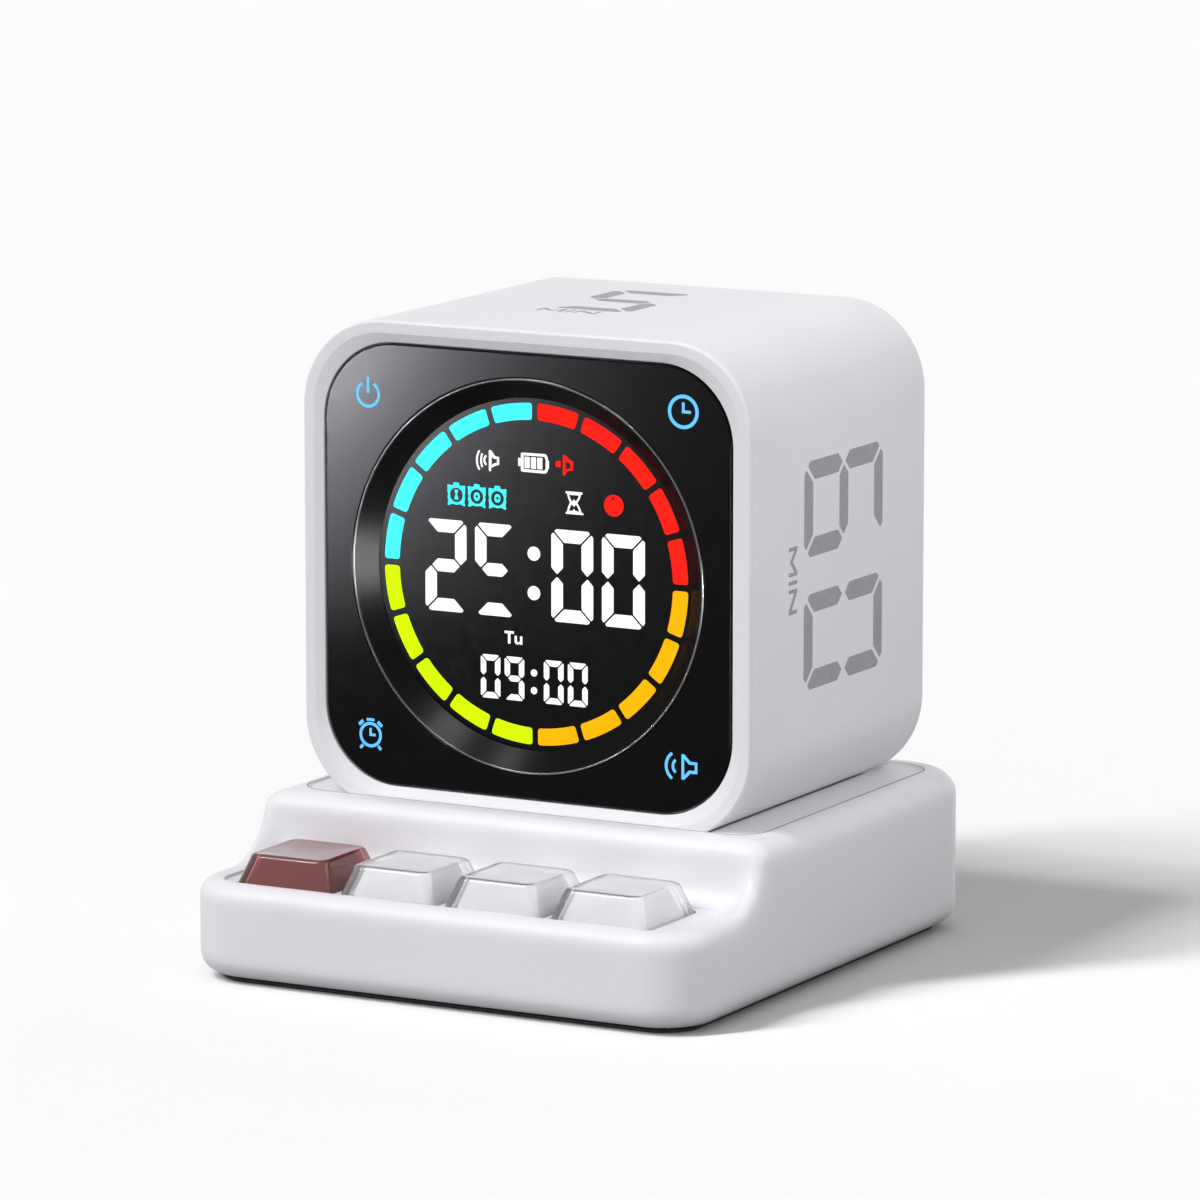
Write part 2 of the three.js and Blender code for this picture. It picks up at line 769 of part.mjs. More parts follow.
function frontBezel() {
  const section = [[0, -bezelLip]];
  for (let i = 0; i <= edgeSteps; i += 1) {
    const angle = (i / edgeSteps) * Math.PI / 2;
    section.push([bezelEdgeRound * (1 - Math.cos(angle)), bezelEdgeRound * (Math.sin(angle) - 1)]);
  }
  section.push([bezelBand, 0]);
  const ledgeInset = panelInset + bezelLedge;
  const opening = [
    [panelInset, panelFront],
    [panelInset, ledgeFront],
    [ledgeInset, ledgeFront],
    [ledgeInset, ledgeRear],
  ];
  const spigot = [
    [spigotInset + bezelSpigotWall, ledgeRear],
    [spigotInset + bezelSpigotWall, spigotRear],
    [spigotInset, spigotRear],
    [spigotInset, -bezelLip],
  ];
  return merged(loft([
    ...section.map(([inset, level]) => faceOutline(inset, level)),
    ...opening.map(([inset, level]) => openingOutline(inset, level)),
    ...spigot.map(([inset, level]) => faceOutline(inset, level)),
  ], true));
}

function shapeOf(points) {
  return new THREE.Shape(points.map((point) => new THREE.Vector2(point.x, point.y)));
}

function circlePath(radius, x, y, sides) {
  const points = [];
  for (let i = 0; i < sides; i += 1) {
    const angle = (i / sides) * 2 * Math.PI;
    points.push(new THREE.Vector2(x + radius * Math.cos(angle), y + radius * Math.sin(angle)));
  }
  return new THREE.Path(points);
}

function extruded(shape, from, to, chamfer = 0) {
  const geometry = new THREE.ExtrudeGeometry(shape, {
    depth: to - from - 2 * chamfer,
    bevelEnabled: chamfer > 0,
    bevelSize: chamfer,
    bevelThickness: chamfer,
    bevelOffset: -chamfer,
    bevelSegments: 1,
  });
  geometry.translate(0, 0, from + chamfer);
  return merged(geometry);
}

function frontPanel() {
  const shape = shapeOf(openingOutline(panelInset + clearance, 0));
  shape.holes.push(circlePath(dialRadius + clearance, 0, 0, dialSides));
  return extruded(shape, panelRear, panelFront, panelChamfer);
}

function dialRing() {
  const flangeRadius = dialRadius + dialFlange;
  const seatRadius = windowRadius + clearance;
  const lipRear = dialFloor - dialLip;
  return turned([
    [dialRadius, panelFront],
    [dialRadius - panelChamfer, panelFront],
    [dialInnerRadius, dialFloor],
    [dialInnerRadius, lipRear],
    [seatRadius, lipRear],
    [seatRadius, windowRear],
    [flangeRadius, windowRear],
    [flangeRadius, ledgeFront],
    [dialRadius, ledgeFront],
    [dialRadius, panelFront],
  ], dialSides);
}

function displayWindow() {
  return rod(windowRadius, windowRear, windowFront, 0, 0, dialSides);
}

function ringCell(index) {
  const pitch = 2 * Math.PI / segmentCount;
  const gapAt = (radius) => segmentGap / 2 / radius;
  const points = [];
  [[segmentOuterRadius, 1], [segmentInnerRadius, -1]].forEach(([radius, way]) => {
    for (let i = 0; i <= smallSteps; i += 1) {
      const share = way > 0 ? i / smallSteps : 1 - i / smallSteps;
      const angle = index * pitch + gapAt(radius) + share * (pitch - 2 * gapAt(radius));
      points.push(new THREE.Vector2(radius * Math.cos(angle), radius * Math.sin(angle)));
    }
  });
  return new THREE.Path(points);
}

// One bar of a seven-segment digit: a hexagon along x or y with pointed ends.
function bar(x, y, length, thickness, upright) {
  const half = length / 2;
  const side = thickness / 2;
  const lower = [[-half, 0], [side - half, -side], [half - side, -side]];
  const points = [...lower, ...lower.map(([u, v]) => [-u, -v])];
  const place = ([u, v]) => new THREE.Vector2(x + (upright ? v : u), y + (upright ? u : v));
  return new THREE.Path(points.map(place));
}

function digitCells(x, y, digit) {
  const across = digit.width - digit.bar;
  const down = (digit.height - digit.bar) / 2;
  const flat = (row) => bar(x, y + row * down, across - 2 * digit.gap, digit.bar, false);
  const length = down - 2 * digit.gap;
  const tall = (side, row) => bar(x + side * across / 2, y + row * down / 2, length, digit.bar, true);
  return [flat(-1), flat(0), flat(1), tall(-1, -1), tall(-1, 1), tall(1, -1), tall(1, 1)];
}

function lightBox() {
  const shape = new THREE.Shape(circlePath(windowRadius, 0, 0, dialSides).getPoints());
  for (let i = 0; i < segmentCount; i += 1) {
    shape.holes.push(ringCell(i));
  }
  timerDigitCentres.forEach((x) => shape.holes.push(...digitCells(x, timerRowHeight, timerDigit)));
  clockDigitCentres.forEach((x) => shape.holes.push(...digitCells(x, clockRowHeight, clockDigit)));
  [[timerRowHeight, timerDigit], [clockRowHeight, clockDigit]].forEach(([row, digit]) => {
    [-1, 1].forEach((side) => {
      const y = row + side * digit.colonRise;
      shape.holes.push(circlePath(digit.colonRadius, colonCentre, y, holeSides));
    });
  });
  return extruded(shape, lightBoxRear, lightBoxFront);
}

function displayBoard() {
  const inset = spigotInset + bezelSpigotWall + clearance;
  return prism(faceBox(inset), displayBoardRear, displayBoardFront, faceSteps);
}

const standoffX = mainBoardWidth / 2 - standoffInset;
const standoffY = mainBoardHeight / 2 - standoffInset;
const standoffs = cornerSigns.map(([x, y]) => ({ x: x * standoffX, y: mainBoardCentreY + y * standoffY }));

function mainBoard() {
  const box = rectangle(mainBoardWidth / 2, mainBoardHeight / 2, mainBoardCorner, [0, mainBoardCentreY]);
  return prism(box, mainBoardRear, mainBoardFront, smallSteps);
}

function tiltSensor() {
  const [x, y] = sensorCentre;
  const foot = mainBoardFront + clearance;
  return block(sensorSize, sensorSize, foot, foot + sensorThickness, x, y);
}

function battery() {
  const floor = -cubeHeight / 2 + shellWall + clearance;
  const front = spigotRear - clearance;
  const halfThickness = batteryThickness / 2;
  const box = rectangle(batteryWidth / 2, halfThickness, batteryRound, [0, floor + halfThickness]);
  return prism(box, front - batteryLength, front, edgeSteps);
}

function speaker() {
  const back = rearCoverFace + clearance;
  const front = back + speakerThickness;
  const rim = back + speakerRim;
  const body = turned([
    [0, back],
    [speakerRadius, back],
    [speakerRadius, rim],
    [speakerBasketRadius, rim + speakerBasketRise],
    [speakerBasketRadius, front],
    [0, front],
  ], speakerSides);
  body.translate(0, speakerCentreY, 0);
  return body;
}

function grilleHoles() {
  const holes = [[0, 0]];
  for (let lap = 1; lap <= grilleLaps; lap += 1) {
    const count = grilleHolesPerLap * lap;
    for (let i = 0; i < count; i += 1) {
      const angle = (i / count) * 2 * Math.PI;
      holes.push([lap * grillePitch * Math.cos(angle), lap * grillePitch * Math.sin(angle)]);
    }
  }
  return holes;
}

function socketBox(grow) {
  const halfX = socketWidth / 2 + grow;
  const halfY = socketHeight / 2 + grow;
  return rectangle(halfX, halfY, halfY - socketEndFlat / 2, [0, socketCentreY]);
}

function rearCover() {
  const plate = prism(faceBox(shellWall + clearance), rearCoverBack, rearCoverFace, faceSteps);
  const wallOuter = speakerRadius + clearance + speakerWall;
  const wallTop = rearCoverFace + speakerWallHeight;
  const root = rearCoverFace - rearCoverThickness / 2;
  const seat = cut(
    rod(wallOuter, root, wallTop, 0, speakerCentreY, speakerSides),
    [rod(speakerRadius + clearance, rearCoverFace, wallTop + overrun, 0, speakerCentreY, speakerSides)],
  );
  const posts = standoffs.map(({ x, y }) => rod(standoffRadius, root, standoffTop, x, y));
  const behind = rearCoverBack - overrun;
  const ahead = rearCoverFace + overrun;
  const grilleHole = ([x, y]) => rod(grilleHoleRadius, behind, ahead, x, speakerCentreY + y, holeSides);
  const grille = grilleHoles().map(grilleHole);
  const slot = prism(socketBox(clearance), behind, ahead, edgeSteps);
  const screws = screwSeats(cubeBosses, rearCoverBack, ahead);
  return cut(join([plate, seat, ...posts]), [...grille, slot, ...screws]);
}

function chargingSocket() {
  const mouth = rearCoverBack;
  const foot = mainBoardRear - clearance;
  const shell = prism(socketBox(0), mouth, foot, edgeSteps);
  const bore = prism(socketBox(-socketWall), mouth - overrun, foot - socketBottom, edgeSteps);
  const tongueEnd = mouth + socketTongueSetback;
  const tongueRoot = foot - socketBottom / 2;
  const tongue = block(socketTongueWidth, socketTongueThickness, tongueEnd, tongueRoot, 0, socketCentreY);
  return join([cut(shell, [bore]), tongue]);
}

// Assembly

function finish(color, roughness, metalness = 0, opacity = 1) {
  return new THREE.MeshStandardMaterial({ color, roughness, metalness, opacity, transparent: opacity < 1 });
}

const whitePlastic = finish(0xe9e8ee, 0.45);
const blackGloss = finish(0x050506, 0.08);
const smokedWindow = finish(0x18181a, 0.12);
const darkRubber = finish(0x2c2c2e, 0.8);
const clearCap = finish(0xf2f2f4, 0.1, 0, 0.4);
const redCap = finish(0xb4443c, 0.1, 0, 0.6);
const whiteCore = finish(0xf4f4f6, 0.4);
const maroonCore = finish(0x6e3c40, 0.4);
const switchBlack = finish(0x1c1c1e, 0.5);
const stemRed = finish(0xb02a24, 0.4);
const springSteel = finish(0xb8b8bc, 0.3, 1);
const screwSteel = finish(0x8c8c90, 0.35, 1);
const boardGreen = finish(0x1d4a34, 0.5);
const plateSteel = finish(0x9a9a9e, 0.4, 1);
const lightBoxWhite = finish(0xf0f0f0, 0.6);
const batterySilver = finish(0xc4c4c8, 0.35, 0.6);
const speakerBlack = finish(0x222224, 0.6);
const socketSteel = finish(0xa8a8ac, 0.3, 1);
const chipBlack = finish(0x151517, 0.5);

const timer = new THREE.Group();
const base = new THREE.Group();
const cube = new THREE.Group();
cube.position.set(0, cubeFrontY, cubeCentreZ);
cube.rotation.x = Math.PI / 2;
timer.add(base, cube);

function add(parent, name, geometry, material, x = 0, y = 0, z = 0) {
  const mesh = new THREE.Mesh(geometry, material);
  mesh.name = name;
  mesh.position.set(x, y, z);
  parent.add(mesh);
}

add(base, 'base_shell', baseShell(), whitePlastic);
add(base, 'bottom_cover', bottomCover(), whitePlastic);
add(base, 'foot_pad', footPad(), darkRubber);
add(base, 'switch_plate', switchPlate(), plateSteel);
baseBosses.forEach(({ x, y }, index) => {
  add(base, `base_screw_${index + 1}`, screw(), screwSteel, x, y, coverBottom);
});
keyIndexes.forEach((index) => {
  const number = index + 1;
  const first = index === 0;
  const x = keyX(index);
  add(base, `keycap_shell_${number}`, keycapShell(), first ? redCap : clearCap, x, keyRowY);
  add(base, `keycap_core_${number}`, keycapCore(), first ? maroonCore : whiteCore, x, keyRowY);
  add(base, `switch_stem_${number}`, switchStem(), stemRed, x, keyRowY);
  add(base, `switch_spring_${number}`, switchSpring(), springSteel, x, keyRowY);
  add(base, `switch_cover_${number}`, switchCover(), switchBlack, x, keyRowY);
  add(base, `switch_base_${number}`, switchBase(), switchBlack, x, keyRowY);
});

add(cube, 'cube_shell', cubeShell(), whitePlastic);
add(cube, 'front_bezel', frontBezel(), whitePlastic);
add(cube, 'front_panel', frontPanel(), blackGloss);
add(cube, 'dial_ring', dialRing(), blackGloss);
add(cube, 'display_window', displayWindow(), smokedWindow);
add(cube, 'light_box', lightBox(), lightBoxWhite);
add(cube, 'display_board', displayBoard(), boardGreen);
add(cube, 'main_board', mainBoard(), boardGreen);
add(cube, 'tilt_sensor', tiltSensor(), chipBlack);
add(cube, 'battery', battery(), batterySilver);
add(cube, 'speaker', speaker(), speakerBlack);
add(cube, 'rear_cover', rearCover(), whitePlastic);
add(cube, 'charging_socket', chargingSocket(), socketSteel);
cubeBosses.forEach(({ x, y }, index) => {
  add(cube, `cube_screw_${index + 1}`, screw(), screwSteel, x, y, rearCoverBack);
});

export default timer;
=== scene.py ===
"""Looks of the cube timer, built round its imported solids. Sizes are in millimetres until a mesh is made."""

import json
import math

import bmesh
import bpy
import numpy as np
from mathutils import Matrix, Vector


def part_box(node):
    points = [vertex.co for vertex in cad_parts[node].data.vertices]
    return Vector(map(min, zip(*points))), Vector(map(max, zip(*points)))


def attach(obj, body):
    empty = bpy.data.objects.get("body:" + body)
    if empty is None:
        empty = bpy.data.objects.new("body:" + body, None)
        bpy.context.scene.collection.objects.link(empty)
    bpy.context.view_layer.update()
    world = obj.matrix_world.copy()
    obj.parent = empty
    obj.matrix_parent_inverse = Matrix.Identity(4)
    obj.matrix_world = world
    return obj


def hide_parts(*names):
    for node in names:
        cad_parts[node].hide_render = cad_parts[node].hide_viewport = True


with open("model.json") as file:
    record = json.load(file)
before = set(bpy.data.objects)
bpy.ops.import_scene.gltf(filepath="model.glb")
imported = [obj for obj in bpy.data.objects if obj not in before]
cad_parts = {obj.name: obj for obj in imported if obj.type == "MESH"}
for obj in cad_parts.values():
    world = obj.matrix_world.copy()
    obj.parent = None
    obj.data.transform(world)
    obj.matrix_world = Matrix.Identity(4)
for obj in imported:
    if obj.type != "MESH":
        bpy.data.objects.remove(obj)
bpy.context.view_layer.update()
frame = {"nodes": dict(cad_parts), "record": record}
nodes = frame["nodes"]
scene = bpy.context.scene

MM = 0.001


def corners(node):
    """Lowest and highest corner of a CAD node, in millimetres."""
    low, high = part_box(node)
    return low / MM, high / MM


# Camera at the photograph's view

CAMERA_TARGET = Vector((-2.77, 10.73, 56.2))
CAMERA_DISTANCE = 1213.8
CAMERA_AZIMUTH = math.radians(28.51)
CAMERA_ELEVATION = math.radians(9.87)
CAMERA_LENS = 222.57
CAMERA_SENSOR = 36.0
CLIP_START = 0.01
CLIP_END = 100.0


def direction(azimuth, elevation):
    """Unit vector from the object towards a place, with azimuth 0 in front and 90 degrees to the right."""
    flat = math.cos(elevation)
    return Vector((math.sin(azimuth) * flat, -math.cos(azimuth) * flat, math.sin(elevation)))


def make_camera():
    data = bpy.data.cameras.new("camera")
    data.lens = CAMERA_LENS
    data.sensor_width = CAMERA_SENSOR
    data.clip_start = CLIP_START
    data.clip_end = CLIP_END
    camera = bpy.data.objects.new("camera", data)
    scene.collection.objects.link(camera)
    back = direction(CAMERA_AZIMUTH, CAMERA_ELEVATION)
    camera.location = (CAMERA_TARGET + back * CAMERA_DISTANCE) * MM
    camera.rotation_euler = (-back).to_track_quat("-Z", "Y").to_euler()
    scene.camera = camera


# Materials

NOISE_LOW = 0.3
NOISE_HIGH = 0.7
GLOW_BODY = 0.25
GLOW_ROUGHNESS = 0.5
GLOW_SPECULAR = 0.1


def linear(red, green, blue):
    """A colour of 0 to 255 per channel as linear values."""
    shares = [value / 255 for value in (red, green, blue)]
    return tuple(s / 12.92 if s <= 0.04045 else ((s + 0.055) / 1.055) ** 2.4 for s in shares)


def opaque(colour):
    return (*colour, 1.0)


def add_node(tree, kind, inputs=(), **settings):
    """A shader node with its settings, and with values or other nodes' outputs at its inputs."""
    made = tree.nodes.new(kind)
    for key, value in settings.items():
        setattr(made, key, value)
    for socket, value in dict(inputs).items():
        if isinstance(value, bpy.types.NodeSocket):
            tree.links.new(value, made.inputs[socket])
        else:
            made.inputs[socket].default_value = value
    return made


def maths(tree, operation, *values):
    return add_node(tree, "ShaderNodeMath", dict(enumerate(values)), operation=operation).outputs["Value"]


class Shader:
    """One principled material with noise that varies its colour, its roughness and its surface."""

    def __init__(self, name, colour, roughness, stretch=(1, 1, 1), **sockets):
        self.material = bpy.data.materials.new(name)
        self.material.use_nodes = True
        self.tree = self.material.node_tree
        self.surface = self.tree.nodes["Principled BSDF"].inputs
        self.colour = colour
        self.roughness = roughness
        self.stretch = stretch
        self.surface["Base Color"].default_value = opaque(colour)
        self.surface["Roughness"].default_value = roughness
        for socket, value in sockets.items():
            self.surface[socket.replace("_", " ")].default_value = value

    def node(self, kind, inputs=(), **settings):
        return add_node(self.tree, kind, inputs, **settings).outputs

    def join(self, out, socket):
        self.tree.links.new(out, self.surface[socket])

    def noise(self, scale, detail=3.0):
        """Noise fixed to the object, with scale in cells per metre."""
        place = self.node("ShaderNodeTexCoord")["Object"]
        mapped = self.node("ShaderNodeMapping", {"Vector": place, "Scale": self.stretch})["Vector"]
        return self.node("ShaderNodeTexNoise", {"Vector": mapped, "Scale": scale, "Detail": detail})["Fac"]

    def spread(self, scale, low, high):
        """Noise mapped to a range of values."""
        ends = {"From Min": NOISE_LOW, "From Max": NOISE_HIGH, "To Min": low, "To Max": high}
        return self.node("ShaderNodeMapRange", {"Value": self.noise(scale), **ends})["Result"]

    def vary_colour(self, scale, amount, socket="Base Color"):
        low, high = [opaque(c * (1 + way * amount) for c in self.colour) for way in (-1, 1)]
        inputs = {"Factor": self.spread(scale, 0, 1), "A": low, "B": high}
        self.join(self.node("ShaderNodeMix", inputs, data_type="RGBA")["Result"], socket)

    def vary_roughness(self, scale, amount):
        low = max(self.roughness - amount, 0.0)
        self.join(self.spread(scale, low, self.roughness + amount), "Roughness")

    def bump(self, scale, height, strength):
        """Fine relief, with height in millimetres."""
        inputs = {"Strength": strength, "Distance": height * MM, "Height": self.noise(scale, 2.0)}
        self.join(self.node("ShaderNodeBump", inputs)["Normal"], "Normal")


def finish(name, colour, roughness, grain, tint=None, relief=None, **sockets):
    """A material that varies in roughness (grain), colour (tint) and relief, by a scale and an amount."""
    shader = Shader(name, colour, roughness, **sockets)
    if tint:
        shader.vary_colour(*tint)
    shader.vary_roughness(*grain)
    if relief:
        shader.bump(*relief)
    return shader.material


def glowing(name, colour, strength):
    """A lit display shape: a dark diffuser that glows, with a slight unevenness of its light."""
    dark = tuple(GLOW_BODY * c for c in colour)
    glow = {"Emission_Color": opaque(colour), "Emission_Strength": strength}
    shader = Shader(name, dark, GLOW_ROUGHNESS, Specular_IOR_Level=GLOW_SPECULAR, **glow)
    shader.colour = colour
    shader.vary_colour(260, 0.05, "Emission Color")
    shader.vary_roughness(600, 0.08)
    return shader.material


MOULDED = {"tint": (60, 0.012), "grain": (900, 0.05), "relief": (2600, 0.012, 0.35),
           "Specular_IOR_Level": 0.35}
GLOSSY = {"tint": (150, 0.2), "grain": (220, 0.02), "Specular_IOR_Level": 0.045}
POLISHED = {**GLOSSY, "Specular_IOR_Level": 0.9}
SMOKED = {"tint": (120, 0.2), "grain": (500, 0.04), "Specular_IOR_Level": 0.05}
RUBBERY = {"tint": (400, 0.25), "grain": (700, 0.08), "relief": (1800, 0.04, 0.5)}
CLEAR = {"grain": (300, 0.02), "Transmission_Weight": 0.9, "IOR": 1.18,
         "Coat_Weight": 1.0, "Coat_Roughness": 0.06}
SATIN = {"tint": (200, 0.02), "grain": (800, 0.06), "relief": (2400, 0.01, 0.3), "Specular_IOR_Level": 0.4}
INKED = {"tint": (500, 0.05), "grain": (900, 0.08), "Specular_IOR_Level": 0.25}
PLAIN = {"tint": (500, 0.12), "grain": (500, 0.07), "relief": (1000, 0.02, 0.5)}
SILVERED = {**PLAIN, "Metallic": 0.7}
BRUSHED = {"tint": (300, 0.1), "grain": (500, 0.1), "relief": (700, 0.01, 0.5),
           "stretch": (1, 30, 1), "Metallic": 1.0}

FINISHES = {
    "white_plastic": (MOULDED, (0.795, 0.787, 0.825), 0.42),
    "black_gloss": (GLOSSY, (0.0009, 0.0009, 0.001), 0.12),
    "black_satin": (GLOSSY, (0.0009, 0.0009, 0.001), 0.25),
    "black_polished": (POLISHED, (0.002, 0.002, 0.0022), 0.16),
    "smoked_window": (SMOKED, (0.0012, 0.0012, 0.0014), 0.13),
    "dark_rubber": (RUBBERY, (0.025, 0.025, 0.027), 0.75),
    "clear_cap": (CLEAR, (0.93, 0.93, 0.942), 0.04),
    "red_cap": (CLEAR, (0.55, 0.2, 0.2), 0.05),
    "white_core": (SATIN, (0.93, 0.93, 0.94), 0.4),
    "maroon_core": (SATIN, (0.29, 0.16, 0.17), 0.4),
    "stem_red": (SATIN, (0.43, 0.03, 0.02), 0.4),
    "print_grey": (INKED, linear(160, 160, 164), 0.55),
    "switch_black": (PLAIN, (0.012, 0.012, 0.013), 0.5),
    "light_box_white": (PLAIN, (0.82, 0.82, 0.82), 0.6),
    "board_green": (PLAIN, (0.012, 0.07, 0.035), 0.45),
    "chip_black": (PLAIN, (0.008, 0.008, 0.009), 0.5),
    "speaker_black": (PLAIN, (0.016, 0.016, 0.017), 0.6),
    "battery_silver": (SILVERED, (0.55, 0.55, 0.58), 0.35),
    "spring_steel": (BRUSHED, (0.6, 0.6, 0.62), 0.3),
    "plate_steel": (BRUSHED, (0.5, 0.5, 0.52), 0.4),
    "screw_steel": (BRUSHED, (0.32, 0.32, 0.34), 0.35),
    "socket_steel": (BRUSHED, (0.4, 0.4, 0.42), 0.3),
}
GLOWS = {
    "display_white": (linear(255, 255, 255), 0.97),
    "display_cyan": (linear(72, 250, 252), 1.0),
    "display_red": (linear(240, 28, 16), 1.0),
    "display_amber": (linear(255, 176, 0), 1.0),
    "display_lime": (linear(206, 255, 0), 1.0),
    "icon_blue": (linear(100, 192, 255), 1.0),
    "display_dim": (linear(30, 30, 32), 0.6),
}
MATERIALS = {name: glowing(name, *glow) for name, glow in GLOWS.items()}
for finish_name, (kind, colour, roughness) in FINISHES.items():
    MATERIALS[finish_name] = finish(finish_name, colour, roughness, **kind)


# Mesh making

SHARP_ANGLE = math.radians(32)
WELD_DISTANCE = 1e-7


def dress_nodes():
    """Gives each CAD node the material of its record slot."""
    for entry in frame["record"]["subparts"]:
        mesh = nodes[entry["node"]].data
        mesh.materials.clear()
        mesh.materials.append(MATERIALS[entry["material_slot"]])
        mesh.set_sharp_from_angle(angle=SHARP_ANGLE)
        mesh.shade_smooth()


def mesh_of(name, points, faces):
    """A mesh from points in millimetres."""
    mesh = bpy.data.meshes.new(name)
    mesh.from_pydata((np.asarray(points) * MM).tolist(), [], [list(f) for f in faces])
    return mesh


def piece_of_mesh(name, mesh, slot, body, replaced=()):
    """A smooth piece that rides on a CAD body and stands for the nodes that it replaces."""
    mesh.materials.clear()
    mesh.materials.append(MATERIALS[slot])
    mesh.shade_smooth()
    mesh.set_sharp_from_angle(angle=SHARP_ANGLE)
    made = bpy.data.objects.new(name, mesh)
    scene.collection.objects.link(made)
    flat = made.modifiers.new("flat_faces", "WEIGHTED_NORMAL")
    flat.keep_sharp = True
    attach(made, body)
    if replaced:
        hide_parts(*replaced)
    return made


def piece(name, points, faces, slot, body, replaced=()):
    mesh = mesh_of(name, points, faces)
    mesh.validate()
    return piece_of_mesh(name, mesh, slot, body, replaced)


def loft_faces(count, rings, looped):
    """Faces between rings of points, with the ends closed or joined to each other."""
    faces = []
    for band in range(rings if looped else rings - 1):
        lower = band * count
        upper = ((band + 1) % rings) * count
        for i in range(count):
            j = (i + 1) % count
            faces.append((lower + i, lower + j, upper + j, upper + i))
    if not looped:
        faces.append(tuple(range(count))[::-1])
        faces.append(tuple(range((rings - 1) * count, rings * count)))
    return faces


def outward(points, faces):
    """Turns the faces of a closed skin so that they look out of it."""
    points = np.asarray(points)
    volume = 0.0
    for face in faces:
        first = points[face[0]]
        for a, b in zip(face[1:-1], face[2:]):
            volume += first @ np.cross(points[a], points[b])
    return faces if volume > 0 else [tuple(f)[::-1] for f in faces]


def loft_skin(rings, looped=False):
    points = np.concatenate(rings)
    return points, outward(points, loft_faces(len(rings[0]), len(rings), looped))


def loft(name, rings, slot, body, replaced=(), looped=False):
    return piece(name, *loft_skin(rings, looped), slot, body, replaced)


def weld(mesh):
    work = bmesh.new()
    work.from_mesh(mesh)
    bmesh.ops.remove_doubles(work, verts=work.verts, dist=WELD_DISTANCE)
    bmesh.ops.recalc_face_normals(work, faces=work.faces)
    work.to_mesh(mesh)
    work.free()


def evaluated_mesh(holder):
    """The mesh of an object with its curves filled and its modifiers applied."""
    bpy.context.view_layer.update()
    return bpy.data.meshes.new_from_object(holder.evaluated_get(bpy.context.evaluated_depsgraph_get()))


def cutter(rings):
    return bpy.data.objects.new("cutter", mesh_of("cutter", *loft_skin(rings)))


def carved_piece(name, blank, cutters, slot, body, replaced):
    """A piece made from a blank with all cutting forms taken away."""
    scene.collection.objects.link(blank)
    group = bpy.data.collections.new("cutters")
    scene.collection.children.link(group)
    for made in cutters:
        group.objects.link(made)
    cut = blank.modifiers.new("carve", "BOOLEAN")
    cut.operation = "DIFFERENCE"
    cut.operand_type = "COLLECTION"
    cut.collection = group
    cut.solver = "EXACT"
    mesh = evaluated_mesh(blank)
    for made in [blank, *cutters]:
        bpy.data.objects.remove(made)
    bpy.data.collections.remove(group)
    mesh.name = name
    return piece_of_mesh(name, mesh, slot, body, replaced)


# Flat shapes: closed loops in a plane, filled where an odd number of loops lie round a point

def arc(centre, radius, start, end, steps=24):
    """Points of an arc, with angles in degrees counted from the right."""
    angles = np.radians(np.linspace(start, end, steps + 1))
    return [(centre[0] + radius * math.cos(a), centre[1] + radius * math.sin(a)) for a in angles]


def circle(centre, radius, steps=48):
    return arc(centre, radius, 0, 360, steps)[:-1]


def ring(centre, radius, stroke, steps=56):
    return [circle(centre, radius + stroke / 2, steps), circle(centre, radius - stroke / 2, steps)]


def band(centre, radius, stroke, start, end, steps=24):
    outer = arc(centre, radius + stroke / 2, start, end, steps)
    inner = arc(centre, radius - stroke / 2, start, end, steps)
    return outer + inner[::-1]


def bar_loop(start, end, stroke):
    """A straight stroke between two points."""
    a, b = np.array(start, float), np.array(end, float)
    along = (b - a) / np.linalg.norm(b - a)
    side = np.array([-along[1], along[0]]) * stroke / 2
    return [tuple(p) for p in (a + side, a - side, b - side, b + side)]


def box_loop(left, low, right, high):
    return [(left, low), (right, low), (right, high), (left, high)]


def moved(loop, x, y):
    return [(x + u, y + v) for u, v in loop]


def mirrored(half):
    """A loop from its right half, counted from the axis of symmetry."""
    return half + [(-u, v) for u, v in half[::-1]]


def soften(loop, radius, chosen=None, most=0.45, steps=4):
    """Rounds the corners of a loop, or the chosen ones, by at most a share of the edges beside them."""
    points = [np.array(p, float) for p in loop]
    made = []
    for i, corner in enumerate(points):
        if chosen and i not in chosen:
            made.append(tuple(corner))
            continue
        ways = [points[i - 1] - corner, points[(i + 1) % len(points)] - corner]
        lengths = [np.linalg.norm(way) for way in ways]
        reach = min(radius, *(most * length for length in lengths))
        a, b = [corner + way / length * reach for way, length in zip(ways, lengths)]
        for share in np.linspace(0, 1, steps + 1):
            made.append(tuple((1 - share) ** 2 * a + 2 * share * (1 - share) * corner + share ** 2 * b))
    return made


def rounded(width, height, corner, arc_steps, edge_steps=1):
    """Points of a rounded rectangle about the origin, with its straight edges divided too."""
    arcs = []
    for quarter, (sx, sy) in enumerate([(1, 1), (-1, 1), (-1, -1), (1, -1)]):
        centre = (sx * (width / 2 - corner), sy * (height / 2 - corner))
        arcs.append(np.array(arc(centre, corner, 90 * quarter, 90 * (quarter + 1), arc_steps)))
    points = []
    for here, after in zip(arcs, arcs[1:] + arcs[:1]):
        points += list(here)
        for i in range(1, edge_steps):
            points.append(here[-1] + (after[0] - here[-1]) * i / edge_steps)
    return np.array(points)


def quarter_round(radius, steps):
    """Inset and rise along a quarter round, from its side up to its top."""
    angles = np.linspace(0, math.pi / 2, steps + 1)
    return [(radius * (1 - math.cos(a)), radius * math.sin(a)) for a in angles]


def upright(flat, y, x=0.0, z=0.0):
    """Points of a flat shape that stands across the depth, moved to x and z."""
    flat = np.asarray(flat)
    return np.column_stack([flat[:, 0] + x, np.full(len(flat), y), flat[:, 1] + z])


